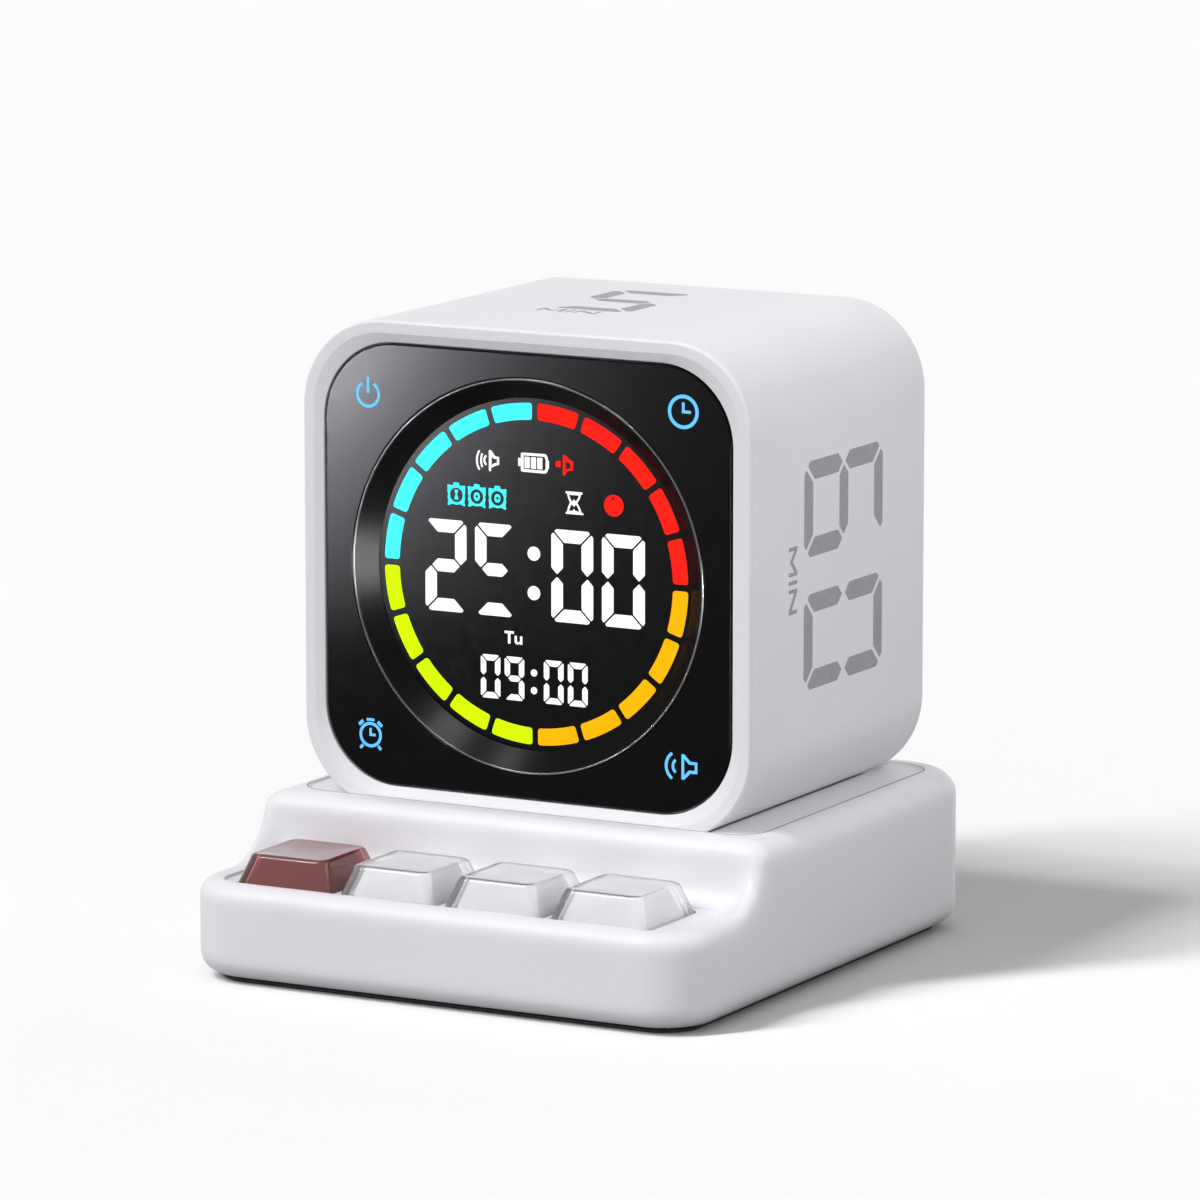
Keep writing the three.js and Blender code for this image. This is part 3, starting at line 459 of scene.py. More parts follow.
def round_rings(profile, x, z, sides):
    """Rings about an axis along y, from radius and depth."""
    return [upright(circle((0, 0), radius, sides), y, x, z) for radius, y in profile]


def plane(origin, right, up):
    """A placing that maps right, up and out of a face to the part's frame."""
    right, up = Vector(right), Vector(up)
    columns = Matrix((right, up, right.cross(up))).transposed().to_4x4()
    return Matrix.Translation(Vector(origin)) @ columns


def plate(name, loops, place, thickness, slot, body="cube"):
    """A thin plate of filled loops, standing on a plane."""
    curve = bpy.data.curves.new(name, "CURVE")
    curve.dimensions = "2D"
    curve.fill_mode = "BOTH"
    curve.extrude = thickness / 2
    for loop in loops:
        spline = curve.splines.new("POLY")
        spline.points.add(len(loop) - 1)
        for point, (u, v) in zip(spline.points, loop):
            point.co = (u, v, 0, 1)
        spline.use_cyclic_u = True
    holder = bpy.data.objects.new(name, curve)
    scene.collection.objects.link(holder)
    mesh = evaluated_mesh(holder)
    bpy.data.objects.remove(holder)
    bpy.data.curves.remove(curve)
    mesh.transform(Matrix.Scale(MM, 4) @ place @ Matrix.Translation((0, 0, thickness / 2)))
    weld(mesh)
    return piece_of_mesh(name, mesh, slot, body)


# Cube housing

bezel_low, bezel_high = corners("front_bezel")
shell_low, shell_high = corners("cube_shell")
flange_low, flange_high = corners("dial_ring")
window_low, window_high = corners("display_window")

CUBE_WIDTH = shell_high.x - shell_low.x
CUBE_HEIGHT = shell_high.z - shell_low.z
CUBE_FRONT = bezel_low.y
CUBE_REAR = shell_high.y
CUBE_MIDDLE = (CUBE_FRONT + CUBE_REAR) / 2
CUBE_CENTRE_Z = (shell_low.z + shell_high.z) / 2
CUBE_CORNER = 14.5
CUBE_WALL = 2.4
REAR_ROUND = 1.5
PANEL_DEPTH = 0.65
PANEL_FACE = CUBE_FRONT + PANEL_DEPTH
PANEL_REAR = corners("front_panel")[1].y
ARC_STEPS = 20
EDGE_STEPS = 14

PARTING_DEPTH = 0.55
PARTING_GAP = 0.16
SLEEVE_CHAMFER = 0.1
BEZEL_CHAMFER = 0.08
BEZEL_ROUND = 0.42
BEZEL_BAND = 1.95
BEVEL_WIDTH = 1.55
BEVEL_ROUND = 0.05
BEVEL_LIP = 0.1
SEAT_GAP = 0.3
BEZEL_OPENING = BEZEL_BAND + BEVEL_WIDTH
PANEL_GAP = 0.36
PANEL_INSET = BEZEL_OPENING + PANEL_GAP
OPENING_CORNER = 13.0
LEDGE_WIDTH = 1.4
LEDGE_INSET = PANEL_INSET + LEDGE_WIDTH
LEDGE_THICKNESS = 1.55
SPIGOT_REAR = bezel_high.y
SPIGOT_WALL = 1.7


def cornered_ring(inset, corner, y):
    flat = rounded(CUBE_WIDTH - 2 * inset, CUBE_HEIGHT - 2 * inset, corner, ARC_STEPS, EDGE_STEPS)
    return upright(flat, y, z=CUBE_CENTRE_Z)


def face_ring(inset, y):
    """A ring of the cube's rounded face, drawn in by an inset, at a depth."""
    return cornered_ring(inset, CUBE_CORNER - inset, y)


def opening_ring(inset, y):
    """A ring of the opening that holds the panel, which is rounder than the cube's own corners."""
    return cornered_ring(inset, OPENING_CORNER - (inset - BEZEL_OPENING), y)


def bevel_ring(share):
    """A ring on the bevel between the flat band and the opening."""
    inset = BEZEL_BAND + BEVEL_WIDTH * share
    corner = (CUBE_CORNER - BEZEL_BAND) * (1 - share) + OPENING_CORNER * share
    return cornered_ring(inset, corner, CUBE_FRONT + PANEL_DEPTH * share)


def make_sleeve():
    front = CUBE_FRONT + PARTING_DEPTH + PARTING_GAP
    section = [(SLEEVE_CHAMFER, front), (0, front + SLEEVE_CHAMFER)]
    section += [(inset, CUBE_REAR - REAR_ROUND + rise) for inset, rise in quarter_round(REAR_ROUND, 8)]
    section += [(CUBE_WALL, CUBE_REAR), (CUBE_WALL, front)]
    rings = [face_ring(inset, y) for inset, y in section]
    loft("sleeve", rings, "white_plastic", "cube", ["cube_shell"], looped=True)


def make_bezel():
    rear = CUBE_FRONT + PARTING_DEPTH
    section = [(BEZEL_CHAMFER, rear), (0, rear - BEZEL_CHAMFER)]
    section += [(inset, CUBE_FRONT + BEZEL_ROUND - rise) for inset, rise in quarter_round(BEZEL_ROUND, 6)]
    section.append((BEZEL_BAND - BEVEL_ROUND, CUBE_FRONT))
    ledge = PANEL_REAR + SEAT_GAP
    ledge_rear = ledge + LEDGE_THICKNESS
    opening = [(BEZEL_OPENING, PANEL_FACE + BEVEL_LIP), (BEZEL_OPENING, ledge)]
    opening += [(LEDGE_INSET, ledge), (LEDGE_INSET, ledge_rear)]
    outer = CUBE_WALL + SEAT_GAP
    inner = outer + SPIGOT_WALL
    spigot = [(inner, ledge_rear), (inner, SPIGOT_REAR), (outer, SPIGOT_REAR), (outer, rear)]
    rings = [face_ring(inset, y) for inset, y in section]
    rings += [bevel_ring(BEVEL_ROUND), bevel_ring(1 - BEVEL_LIP / BEVEL_WIDTH)]
    rings += [opening_ring(inset, y) for inset, y in opening]
    rings += [face_ring(inset, y) for inset, y in spigot]
    loft("bezel", rings, "white_plastic", "cube", ["front_bezel"], looped=True)


# Panel and dial

PANEL_CHAMFER = 0.14
RIM_FRONT = flange_low.y
WINDOW_FRONT = window_low.y
WINDOW_REAR = window_high.y
WINDOW_RADIUS = (window_high.x - window_low.x) / 2
WINDOW_CHAMFER = 0.1
DIAL_Z = (window_low.z + window_high.z) / 2
DIAL_RADIUS = 32.1
DIAL_FIT = 0.06
DIAL_FLANGE_RADIUS = (flange_high.x - flange_low.x) / 2
DIAL_INNER_RADIUS = 28.6
DIAL_FLOOR_RISE = 0.5
DIAL_FLOOR = WINDOW_FRONT - DIAL_FLOOR_RISE
DIAL_LIP = 0.22
DIAL_SIDES = 160
FUNNEL_EDGE_WIDTH = 0.1
FUNNEL_EDGE_DEPTH = 0.08
FUNNEL_LIP = 0.2
BEAD_PROUD = 0.02
BEAD_RADIUS = DIAL_LIP + BEAD_PROUD
BEAD_SIDES = 16


def hole_ring(radius, y):
    """A round ring with as many points as the panel's outline."""
    spokes = opening_ring(PANEL_INSET, y)[:, [0, 2]] - np.array([0, DIAL_Z])
    return upright(spokes / np.linalg.norm(spokes, axis=1)[:, None] * radius, y, z=DIAL_Z)


def make_panel():
    hole = DIAL_RADIUS + DIAL_FIT
    edge = PANEL_FACE + PANEL_CHAMFER
    rings = [
        opening_ring(PANEL_INSET + PANEL_CHAMFER, PANEL_FACE),
        opening_ring(PANEL_INSET, edge),
        opening_ring(PANEL_INSET, PANEL_REAR),
        hole_ring(hole, PANEL_REAR),
        hole_ring(hole, edge),
        hole_ring(hole + PANEL_CHAMFER, PANEL_FACE),
    ]
    loft("face_panel", rings, "black_gloss", "cube", ["front_panel"], looped=True)


def turned(name, profile, slot, replaced=(), looped=True):
    """A turned form about the dial's axis, from radius and depth."""
    return loft(name, round_rings(profile, 0, DIAL_Z, DIAL_SIDES), slot, "cube", replaced, looped)


def make_funnel():
    """The dial's funnel, less polished than the panel round it."""
    rear = PANEL_REAR + SEAT_GAP
    edge = RIM_FRONT + DIAL_LIP
    seat = WINDOW_RADIUS + SEAT_GAP
    lip = quarter_round(DIAL_LIP, 5)
    profile = [(DIAL_RADIUS, rear), (DIAL_RADIUS, edge)]
    profile += [(DIAL_RADIUS - inset, edge - rise) for inset, rise in lip[1:]]
    profile += [(DIAL_RADIUS - DIAL_LIP - inset, RIM_FRONT + rise) for rise, inset in lip[1:-1]]
    profile += [
        (DIAL_INNER_RADIUS + FUNNEL_EDGE_WIDTH, DIAL_FLOOR - FUNNEL_EDGE_DEPTH),
        (DIAL_INNER_RADIUS, DIAL_FLOOR),
        (DIAL_INNER_RADIUS, DIAL_FLOOR + FUNNEL_LIP),
        (seat, DIAL_FLOOR + FUNNEL_LIP),
        (seat, WINDOW_REAR),
        (DIAL_FLANGE_RADIUS, WINDOW_REAR),
        (DIAL_FLANGE_RADIUS, rear),
    ]
    funnel = turned("dial_funnel", profile, "black_gloss", ["dial_ring"])
    funnel.data.materials[0] = MATERIALS["black_satin"]


def make_dial():
    make_funnel()
    bead = circle((DIAL_RADIUS - DIAL_LIP, RIM_FRONT + DIAL_LIP), BEAD_RADIUS, BEAD_SIDES)
    edge = turned("dial_edge", bead, "black_gloss")
    edge.data.materials[0] = MATERIALS["black_polished"]
    disc = [
        (WINDOW_RADIUS - WINDOW_CHAMFER, WINDOW_REAR),
        (WINDOW_RADIUS, WINDOW_REAR - WINDOW_CHAMFER),
        (WINDOW_RADIUS, WINDOW_FRONT + WINDOW_CHAMFER),
        (WINDOW_RADIUS - WINDOW_CHAMFER, WINDOW_FRONT),
    ]
    turned("window_disc", disc, "smoked_window", ["display_window"], looped=False)


# Display shapes, counted from the dial's centre

GLOW_THICKNESS = 0.05
DISPLAY = plane((0, WINDOW_FRONT, DIAL_Z), (1, 0, 0), (0, 0, 1))
PANEL = plane((0, PANEL_FACE, DIAL_Z), (1, 0, 0), (0, 0, 1))
SEGMENTS = {"0": "abcdef", "1": "bc", "2": "abged", "5": "afgcd", "6": "afgedc", "9": "abcdfg"}


def seven_segments(bars, left, width, low, height, stroke, gap, chamfer):
    """Loops of some bars of one digit: mitred where bars meet at a corner and pointed at mid-height."""
    shift = gap / math.sqrt(2)
    middle = height / 2
    top = [
        (chamfer + shift, height), (width - chamfer - shift, height),
        (width - chamfer / 2 - shift, height - chamfer / 2), (width - stroke - shift, height - stroke),
        (stroke + shift, height - stroke), (chamfer / 2 + shift, height - chamfer / 2),
    ]
    side = [
        (0, height - chamfer - shift), (chamfer / 2, height - chamfer / 2 - shift),
        (stroke, height - stroke - shift), (stroke, middle + stroke / 2 + shift),
        (stroke / 2, middle + shift), (0, middle + stroke / 2 + shift),
    ]
    centre = [
        (stroke / 2 + shift, middle), (stroke + shift, middle + stroke / 2),
        (width - stroke - shift, middle + stroke / 2), (width - stroke / 2 - shift, middle),
        (width - stroke - shift, middle - stroke / 2), (stroke + shift, middle - stroke / 2),
    ]
    loops = {"a": top, "b": side, "c": side, "d": top, "e": side, "f": side, "g": centre}
    made = []
    for name in bars:
        loop = loops[name]
        if name in "bc":
            loop = [(width - u, v) for u, v in loop]
        if name in "cde":
            loop = [(u, height - v) for u, v in loop]
        made.append(moved(loop, left, low))
    return made


TIMER_ROW = {"low": -7.3, "height": 15.0, "stroke": 2.1, "gap": 0.3, "chamfer": 0.7}
TIMER_DIGITS = [("2", -20.2, 7.6), ("5", -11.0, 7.3), ("0", 3.0, 7.6), ("0", 12.2, 7.75)]
UNLIT_BARS = {"5": "c"}
CLOCK_ROW = {"low": -20.8, "height": 7.1, "stroke": 0.98, "gap": 0.22, "chamfer": 0.3}
CLOCK_DIGITS = [("0", -10.0, 3.6), ("9", -5.6, 3.6), ("0", 1.6, 3.6), ("0", 6.0, 3.6)]
COLONS = [((-0.2, 3.4), 1.15), ((-0.2, -3.0), 1.15), ((-0.2, -16.0), 0.58), ((-0.2, -18.9), 0.58)]
DIGIT_SOFTNESS = 0.18


def digit_loops(digits, row, softness, bars_of):
    loops = []
    for character, left, width in digits:
        loops += seven_segments(bars_of(character), left, width, **row)
    return [soften(loop, softness) for loop in loops]


def unlit(character):
    return UNLIT_BARS.get(character, "")


def lit(character):
    return [bar for bar in SEGMENTS[character] if bar not in unlit(character)]


SPEAKER_BAR = 0.38
WAVE_STROKE = 0.32
WAVES = [((-7.86, 17.83), 2.76, 34.7), ((-7.11, 17.83), 2.74, 24.0), ((-8.37, 17.9), 0.9, 55.0)]
BATTERY_CELLS = (-1.87, -0.71, 0.45)
BATTERY_CELL_WIDTH = 0.92


def speaker_loops(left, low, high, horn, hollow):
    """A speaker in outline: an upright bar that opens into a horn to its right."""
    bar = left + SPEAKER_BAR
    outline = [(left, low), (left, high), (bar, high)] + horn + [(bar, low)]
    return [soften(outline, 0.12), soften(hollow, 0.08)]


def sound_waves():
    loops = [band(centre, radius, WAVE_STROKE, 180 - half, 180 + half, 12) for centre, radius, half in WAVES]
    return [soften(loop, 0.12) for loop in loops]


def battery_loops():
    case = [(-2.54, 16.54), (-2.54, 19.62), (2.0, 19.66), (2.33, 19.25), (2.36, 18.75), (2.58, 18.6),
            (2.58, 17.4), (2.36, 17.22), (2.33, 16.92), (2.0, 16.52)]
    hollow = [(-2.06, 16.97), (-2.06, 19.2), (1.75, 19.24), (1.98, 18.85), (1.98, 17.3), (1.75, 16.97)]
    loops = [soften(case, 0.3), soften(hollow, 0.12), soften(box_loop(-3.03, 17.4, -2.6, 18.75), 0.15)]
    cells = [box_loop(left, 17.15, left + BATTERY_CELL_WIDTH, 19.0) for left in BATTERY_CELLS]
    return loops + [soften(cell, 0.1) for cell in cells]


def hourglass_loops():
    outline = [(5.62, 13.98), (8.66, 13.98), (8.66, 13.64), (8.38, 13.6), (8.2, 12.95), (7.72, 12.2),
               (8.2, 11.45), (8.5, 10.66), (8.82, 10.62), (8.82, 10.34), (5.62, 10.34), (5.62, 10.62),
               (5.88, 10.68), (6.05, 11.45), (6.42, 12.2), (6.05, 12.95), (5.88, 13.62), (5.62, 13.66)]
    upper = [(6.2, 13.45), (8.04, 13.45), (7.88, 12.98), (7.5, 12.45), (7.3, 12.52), (7.12, 12.78),
             (6.95, 12.5), (6.7, 12.42), (6.38, 12.98)]
    lower = [(6.72, 11.98), (6.98, 11.72), (7.12, 11.56), (7.28, 11.74), (7.5, 11.98), (7.88, 11.42),
             (8.12, 10.86), (7.4, 10.86), (7.12, 11.24), (6.84, 10.86), (6.22, 10.86), (6.38, 11.42)]
    return [soften(outline, 0.1), soften(upper, 0.08), soften(lower, 0.08)]


def weekday_loops():
    """The short form of a day of the week, in plain strokes."""
    cross = [(-5.6, -9.55), (-5.6, -9.95), (-4.97, -9.95), (-4.97, -11.6), (-4.53, -11.6), (-4.53, -9.95),
             (-3.9, -9.95), (-3.9, -9.55)]
    cup = [(-3.75, -10.25), (-3.35, -10.25), (-3.35, -11.1), (-3.2, -11.28), (-2.95, -11.25), (-2.75, -11.05),
           (-2.75, -10.25), (-2.35, -10.25), (-2.35, -11.6), (-2.72, -11.6), (-2.75, -11.45), (-3.1, -11.64),
           (-3.5, -11.6), (-3.75, -11.25)]
    return [cross, cup]


def white_icons():
    horn = [(-7.25, 18.64), (-6.55, 18.57), (-6.52, 17.34), (-7.2, 17.12), (-8.03, 16.7)]
    hollow = [(-7.94, 18.62), (-7.45, 18.22), (-6.93, 18.28), (-6.91, 17.6), (-7.4, 17.52), (-7.94, 17.12)]
    loops = sound_waves() + speaker_loops(-8.41, 16.19, 19.59, horn, hollow)
    return loops + battery_loops() + hourglass_loops() + weekday_loops()


def red_icons():
    horn = [(6.45, 19.0), (7.0, 18.88), (6.95, 17.36), (5.95, 17.24), (5.58, 16.75)]
    hollow = [(5.62, 18.8), (6.38, 18.5), (6.56, 18.3), (6.4, 17.66), (5.66, 17.5)]
    mute = [(3.73, 18.6), (4.7, 18.88), (4.7, 17.78), (3.85, 17.72)]
    loops = speaker_loops(5.12, 16.48, 19.82, horn, hollow) + [soften(mute, 0.2)]
    return loops + [circle((14.34, 12.28), 1.76), circle((14.18, 13.42), 0.22, 16)]


SMALL_CLOCKS = (-14.43, -10.66, -6.86)
SMALL_CLOCK_Y = 11.85
SMALL_CLOCK_FACE = 1.2
SMALL_CLOCK_DOT = 0.25
SMALL_CLOCK_CASE = [(0.5, 2.02), (0.5, 1.62), (0.8, 1.5), (1.62, 1.62), (1.62, 0.35), (1.46, 0.0),
                    (1.62, -0.35), (1.46, -1.1), (1.62, -1.72), (1.25, -1.72), (0.8, -1.46), (0.0, -1.6)]
SMALL_CLOCK_GLASS = [(0.3, 0.85), (0.3, 0.6), (0.12, 0.1), (0.34, -0.45), (0.34, -0.75)]
SMALL_CLOCK_OVAL = [(0.3, 0.68), (0.54, 0.3), (0.54, -0.3), (0.3, -0.68)]


def small_clocks():
    """Three small alarm clocks with ears and feet: the first with a glass, the others with a dot."""
    loops = []
    for x in SMALL_CLOCKS:
        case = SMALL_CLOCK_CASE + [(-u, v) for u, v in SMALL_CLOCK_CASE[-2::-1]]
        loops.append(soften(moved(case, x, SMALL_CLOCK_Y), 0.12))
        loops.append(circle((x, SMALL_CLOCK_Y), SMALL_CLOCK_FACE, 36))
    loops.append(soften(moved(mirrored(SMALL_CLOCK_GLASS), SMALL_CLOCKS[0], SMALL_CLOCK_Y), 0.12))
    for x in SMALL_CLOCKS[1:]:
        loops.append(soften(moved(mirrored(SMALL_CLOCK_OVAL), x, SMALL_CLOCK_Y), 0.3))
        loops.append(circle((x, SMALL_CLOCK_Y + 0.02), SMALL_CLOCK_DOT, 16))
    return loops


RING_OUTER = 27.75
RING_INNER = 25.0
RING_GAP = 1.05
RING_COUNT = 20
RING_ROUND = 0.55
RING_STEPS = 8
RING_COLOURS = ["red", "amber", "lime", "cyan"]


def ring_segment(index):
    """One lit cell of the ring, counted clockwise from the top, with its four corners rounded."""
    pitch = 360 / RING_COUNT
    start = 90 - index * pitch
    loop = []
    for radius, way in ((RING_OUTER, 1), (RING_INNER, -1)):
        margin = math.degrees(RING_GAP / 2 / radius)
        loop += arc((0, 0), radius, start - margin, start - pitch + margin, RING_STEPS)[::way]
    ends = (0, RING_STEPS, RING_STEPS + 1, 2 * RING_STEPS + 1)
    return soften(loop, RING_ROUND, ends, most=0.9)


def make_display():
    each = RING_COUNT // len(RING_COLOURS)
    for turn, colour in enumerate(RING_COLOURS):
        loops = [ring_segment(turn * each + i) for i in range(each)]
        plate(f"ring_{colour}", loops, DISPLAY, GLOW_THICKNESS, f"display_{colour}")
    digits = digit_loops(TIMER_DIGITS, TIMER_ROW, DIGIT_SOFTNESS, lit)
    digits += digit_loops(CLOCK_DIGITS, CLOCK_ROW, DIGIT_SOFTNESS, lit)
    digits += [circle(centre, radius, 32) for centre, radius in COLONS]
    plate("lit_digits", digits, DISPLAY, GLOW_THICKNESS, "display_white")
    dark_bars = digit_loops(TIMER_DIGITS, TIMER_ROW, DIGIT_SOFTNESS, unlit)
    plate("unlit_digits", dark_bars, DISPLAY, GLOW_THICKNESS / 2, "display_dim")
    plate("white_icons", white_icons(), DISPLAY, GLOW_THICKNESS, "display_white")
    plate("red_icons", red_icons(), DISPLAY, GLOW_THICKNESS, "display_red")
    plate("clock_icons", small_clocks(), DISPLAY, GLOW_THICKNESS, "display_cyan")


# Touch icons printed on the panel, each drawn about its own middle

PRINT_THICKNESS = 0.02
ICON_STROKE = 0.58
THIN_STROKE = 0.46


def hands(up, along, stroke):
    """A clock's two hands at three o'clock."""
    half = stroke / 2
    return [(-half, up), (half, up), (half, half), (along, half), (along, -half), (-half, -half)]


def power_icon():
    loop = band((0, -0.25), 2.0, THIN_STROKE, 121, 419, 40)
    return [soften(loop, 0.2), soften(bar_loop((0, -0.1), (0, 2.6), THIN_STROKE), 0.15)]


def clock_icon():
    return ring((0, 0), 2.45, ICON_STROKE) + [hands(1.5, 1.35, THIN_STROKE)]


def alarm_icon():
    loops = ring((0, 0), 1.85, 0.5) + [hands(1.1, 0.95, 0.44)]
    loops.append(soften(box_loop(-0.75, 2.25, 0.75, 2.7), 0.15))
    for side in (-1, 1):
        loops.append(soften(bar_loop((side * 1.35, 2.25), (side * 2.15, 1.5), 0.55), 0.15))
        loops.append(soften(bar_loop((side * 1.4, -1.75), (side * 1.95, -2.35), 0.5), 0.15))
    return loops


def sound_icon():
    """Two waves, and a speaker outline that opens towards them."""
    loops = [soften(band((-0.3, 0), 2.46, 0.5, 124, 236, 16), 0.2)]
    loops.append(soften(band((-0.3, 0), 1.25, 0.46, 127, 233, 12), 0.2))
    horn = [(0, 2.05), (0.5, 2.05), (1.6, 0.95), (2.85, 0.95)]
    hollow = [(0.48, 1.35), (1.35, 0.48), (2.38, 0.48)]
    loops.append(soften(horn + [(u, -v) for u, v in horn[::-1]], 0.12))
    loops.append(hollow + [(u, -v) for u, v in hollow[::-1]])
    return loops


TOUCH_ICONS = [
    (power_icon, (-29.0, 27.85)),
    (clock_icon, (28.4, 28.75)),
    (alarm_icon, (-28.85, -28.2)),
    (sound_icon, (28.2, -28.15)),
]


def make_touch_icons():
    loops = [moved(loop, *place) for icon, place in TOUCH_ICONS for loop in icon()]
    plate("touch_icons", loops, PANEL, PRINT_THICKNESS, "icon_blue")


# Printed numbers on the cube's four sides

PRINT_BARS = {"stroke": 3.1, "gap": 0.75, "chamfer": 1.5}
PRINT_SOFTNESS = 0.25
PRINT_SPACING = 6.0
PAIR_PRINT = {"left": -19.1, "low": -13.0, "width": 15.5, "height": 28.0, "word": (-6.1, -18.3)}
SINGLE_PRINT = {"left": -10.5, "low": -4.5, "width": 14.6, "height": 24.5, "word": (-10.6, -8.6)}
WORD_HEIGHT = 2.9
WORD_STROKE = 0.62
WORD_GAP = 0.75
M_WIDTH = 4.7
N_WIDTH = 4.0


def minute_word():
    """The abbreviation for minutes in plain strokes."""
    top, stroke = WORD_HEIGHT, WORD_STROKE
    m_right, n_right = M_WIDTH - WORD_STROKE, N_WIDTH - WORD_STROKE
    m = [(0, 0), (stroke, 0), (stroke, top - 1.0), (M_WIDTH / 2, 0.35), (m_right, top - 1.0), (m_right, 0),
         (M_WIDTH, 0), (M_WIDTH, top), (m_right, top), (M_WIDTH / 2, 1.35), (stroke, top), (0, top)]
    n = [(0, 0), (stroke, 0), (stroke, top - 1.0), (n_right, 0), (N_WIDTH, 0), (N_WIDTH, top), (n_right, top),
         (n_right, 1.0), (stroke, top), (0, top)]
    after_m = M_WIDTH + WORD_GAP
    return [m, box_loop(after_m, 0, after_m + stroke, top), moved(n, after_m + stroke + WORD_GAP, 0)]


def print_loops(text, left, low, width, height, word):
    digits = [(character, left + i * (width + PRINT_SPACING), width) for i, character in enumerate(text)]
    loops = digit_loops(digits, {"low": low, "height": height, **PRINT_BARS}, PRINT_SOFTNESS, SEGMENTS.get)
    return loops + [moved(letter, *word) for letter in minute_word()]


def make_prints():
    half = CUBE_WIDTH / 2
    sides = {
        "right": ("60", PAIR_PRINT, (half, CUBE_MIDDLE, DIAL_Z), (0, 0, -1)),
        "left": ("10", PAIR_PRINT, (-half, CUBE_MIDDLE, DIAL_Z), (0, 0, 1)),
        "top": ("5", SINGLE_PRINT, (0, CUBE_MIDDLE, shell_high.z), (1, 0, 0)),
        "bottom": ("25", PAIR_PRINT, (0, CUBE_MIDDLE, shell_low.z), (-1, 0, 0)),
    }
    for side, (text, layout, origin, right) in sides.items():
        place = plane(origin, right, (0, 1, 0))
        plate(f"print_{side}", print_loops(text, **layout), place, PRINT_THICKNESS, "print_grey")


# Rear cover with its grille, socket slot and screws

CUT_PAST = 1.0
REAR_FACE = corners("rear_cover")[1].y
REAR_THICKNESS = 2.2
REAR_INNER = REAR_FACE - REAR_THICKNESS
REAR_EDGE = 0.2
GRILLE_RADIUS = 0.9
GRILLE_PITCH = 3.6
GRILLE_LAPS = 2
GRILLE_SIDES = 20
speaker_low, speaker_high = corners("speaker")
GRILLE_Z = (speaker_low.z + speaker_high.z) / 2
HOLE_EDGE = 0.15
socket_low, socket_high = corners("charging_socket")
SOCKET_Z = (socket_low.z + socket_high.z) / 2
SOCKET_FLAT = 0.05
screw_boxes = [corners(f"cube_screw_{n}") for n in (1, 2, 3, 4)]
SCREW_HEAD = (screw_boxes[0][1].x - screw_boxes[0][0].x) / 2
SCREW_HEAD_DEPTH = 1.1
SCREW_SHAFT = 1.25
SCREW_TIP_RADIUS = 0.4
SCREW_TIP_LENGTH = 0.6
SCREW_CROWN = [(0.0, 0.35), (0.12, 0.14), (0.35, 0.03), (1.05, 0.0)]
SCREW_SIDES = 32
SCREW_HOLE_SIDES = 40
RECESS_WIDTH = 0.62
RECESS_LENGTH = 2.5
RECESS_DEPTH = 0.75
RECESS_TAPER = 0.55


def hole_mouth(radius):
    """The outer end of a hole with a broken edge, and its cutting form's reach past the rear face."""
    wide = radius + HOLE_EDGE
    return [(radius, REAR_FACE - HOLE_EDGE), (wide, REAR_FACE), (wide, REAR_FACE + CUT_PAST)]


def grille_places():
    places = [(0.0, 0.0)]
    for lap in range(1, GRILLE_LAPS + 1):
        places += circle((0, 0), lap * GRILLE_PITCH, 6 * lap)
    return places


def socket_rings():
    rings = []
    for grow, y in [(0.0, REAR_INNER - REAR_THICKNESS)] + hole_mouth(0.0):
        width = socket_high.x - socket_low.x + 2 * (SEAT_GAP + grow)
        height = socket_high.z - socket_low.z + 2 * (SEAT_GAP + grow)
        rings.append(upright(rounded(width, height, height / 2 - SOCKET_FLAT, 10), y, z=SOCKET_Z))
    return rings


def make_rear_cover():
    inset = CUBE_WALL + SEAT_GAP
    section = [(inset, REAR_INNER), (inset, REAR_FACE - REAR_EDGE), (inset + REAR_EDGE, REAR_FACE)]
    blank = cutter([face_ring(draw, y) for draw, y in section])
    cutters = [cutter(socket_rings())]
    inside = REAR_INNER - CUT_PAST
    for x, z in grille_places():
        profile = [(GRILLE_RADIUS, inside)] + hole_mouth(GRILLE_RADIUS)
        cutters.append(cutter(round_rings(profile, x, GRILLE_Z + z, GRILLE_SIDES)))
    seat = REAR_FACE - SCREW_HEAD_DEPTH - SEAT_GAP
    shaft = SCREW_SHAFT + SEAT_GAP
    wide = SCREW_HEAD + SEAT_GAP
    profile = [(shaft, inside), (shaft, seat), (wide, seat)] + hole_mouth(wide)
    for low, high in screw_boxes:
        rings = round_rings(profile, (low.x + high.x) / 2, (low.z + high.z) / 2, SCREW_HOLE_SIDES)
        cutters.append(cutter(rings))
    carved_piece("rear_plate", blank, cutters, "white_plastic", "cube", ["rear_cover"])


def make_screws():
    """Pan heads with a cross recess."""
    for number, (low, high) in enumerate(screw_boxes, start=1):
        x, z = (low.x + high.x) / 2, (low.z + high.z) / 2
        under = high.y - SCREW_HEAD_DEPTH
        profile = [(SCREW_TIP_RADIUS, low.y), (SCREW_SHAFT, low.y + SCREW_TIP_LENGTH), (SCREW_SHAFT, under)]
        profile.append((SCREW_HEAD, under))
        profile += [(SCREW_HEAD - inset, high.y - drop) for inset, drop in SCREW_CROWN]
        blank = cutter(round_rings(profile, x, z, SCREW_SIDES))
        arms = []
        for width, length in ((RECESS_WIDTH, RECESS_LENGTH), (RECESS_LENGTH, RECESS_WIDTH)):
            rings = []
            for share, y in ((RECESS_TAPER, high.y - RECESS_DEPTH), (1.0, high.y), (1.0, high.y + CUT_PAST)):
                right, top = width * share / 2, length * share / 2
                rings.append(upright(box_loop(-right, -top, right, top), y, x, z))
            arms.append(cutter(rings))
        carved_piece(f"rear_screw_{number}", blank, arms, "screw_steel", "cube", [f"cube_screw_{number}"])


# Base housing, from a distance that is negative inside the form

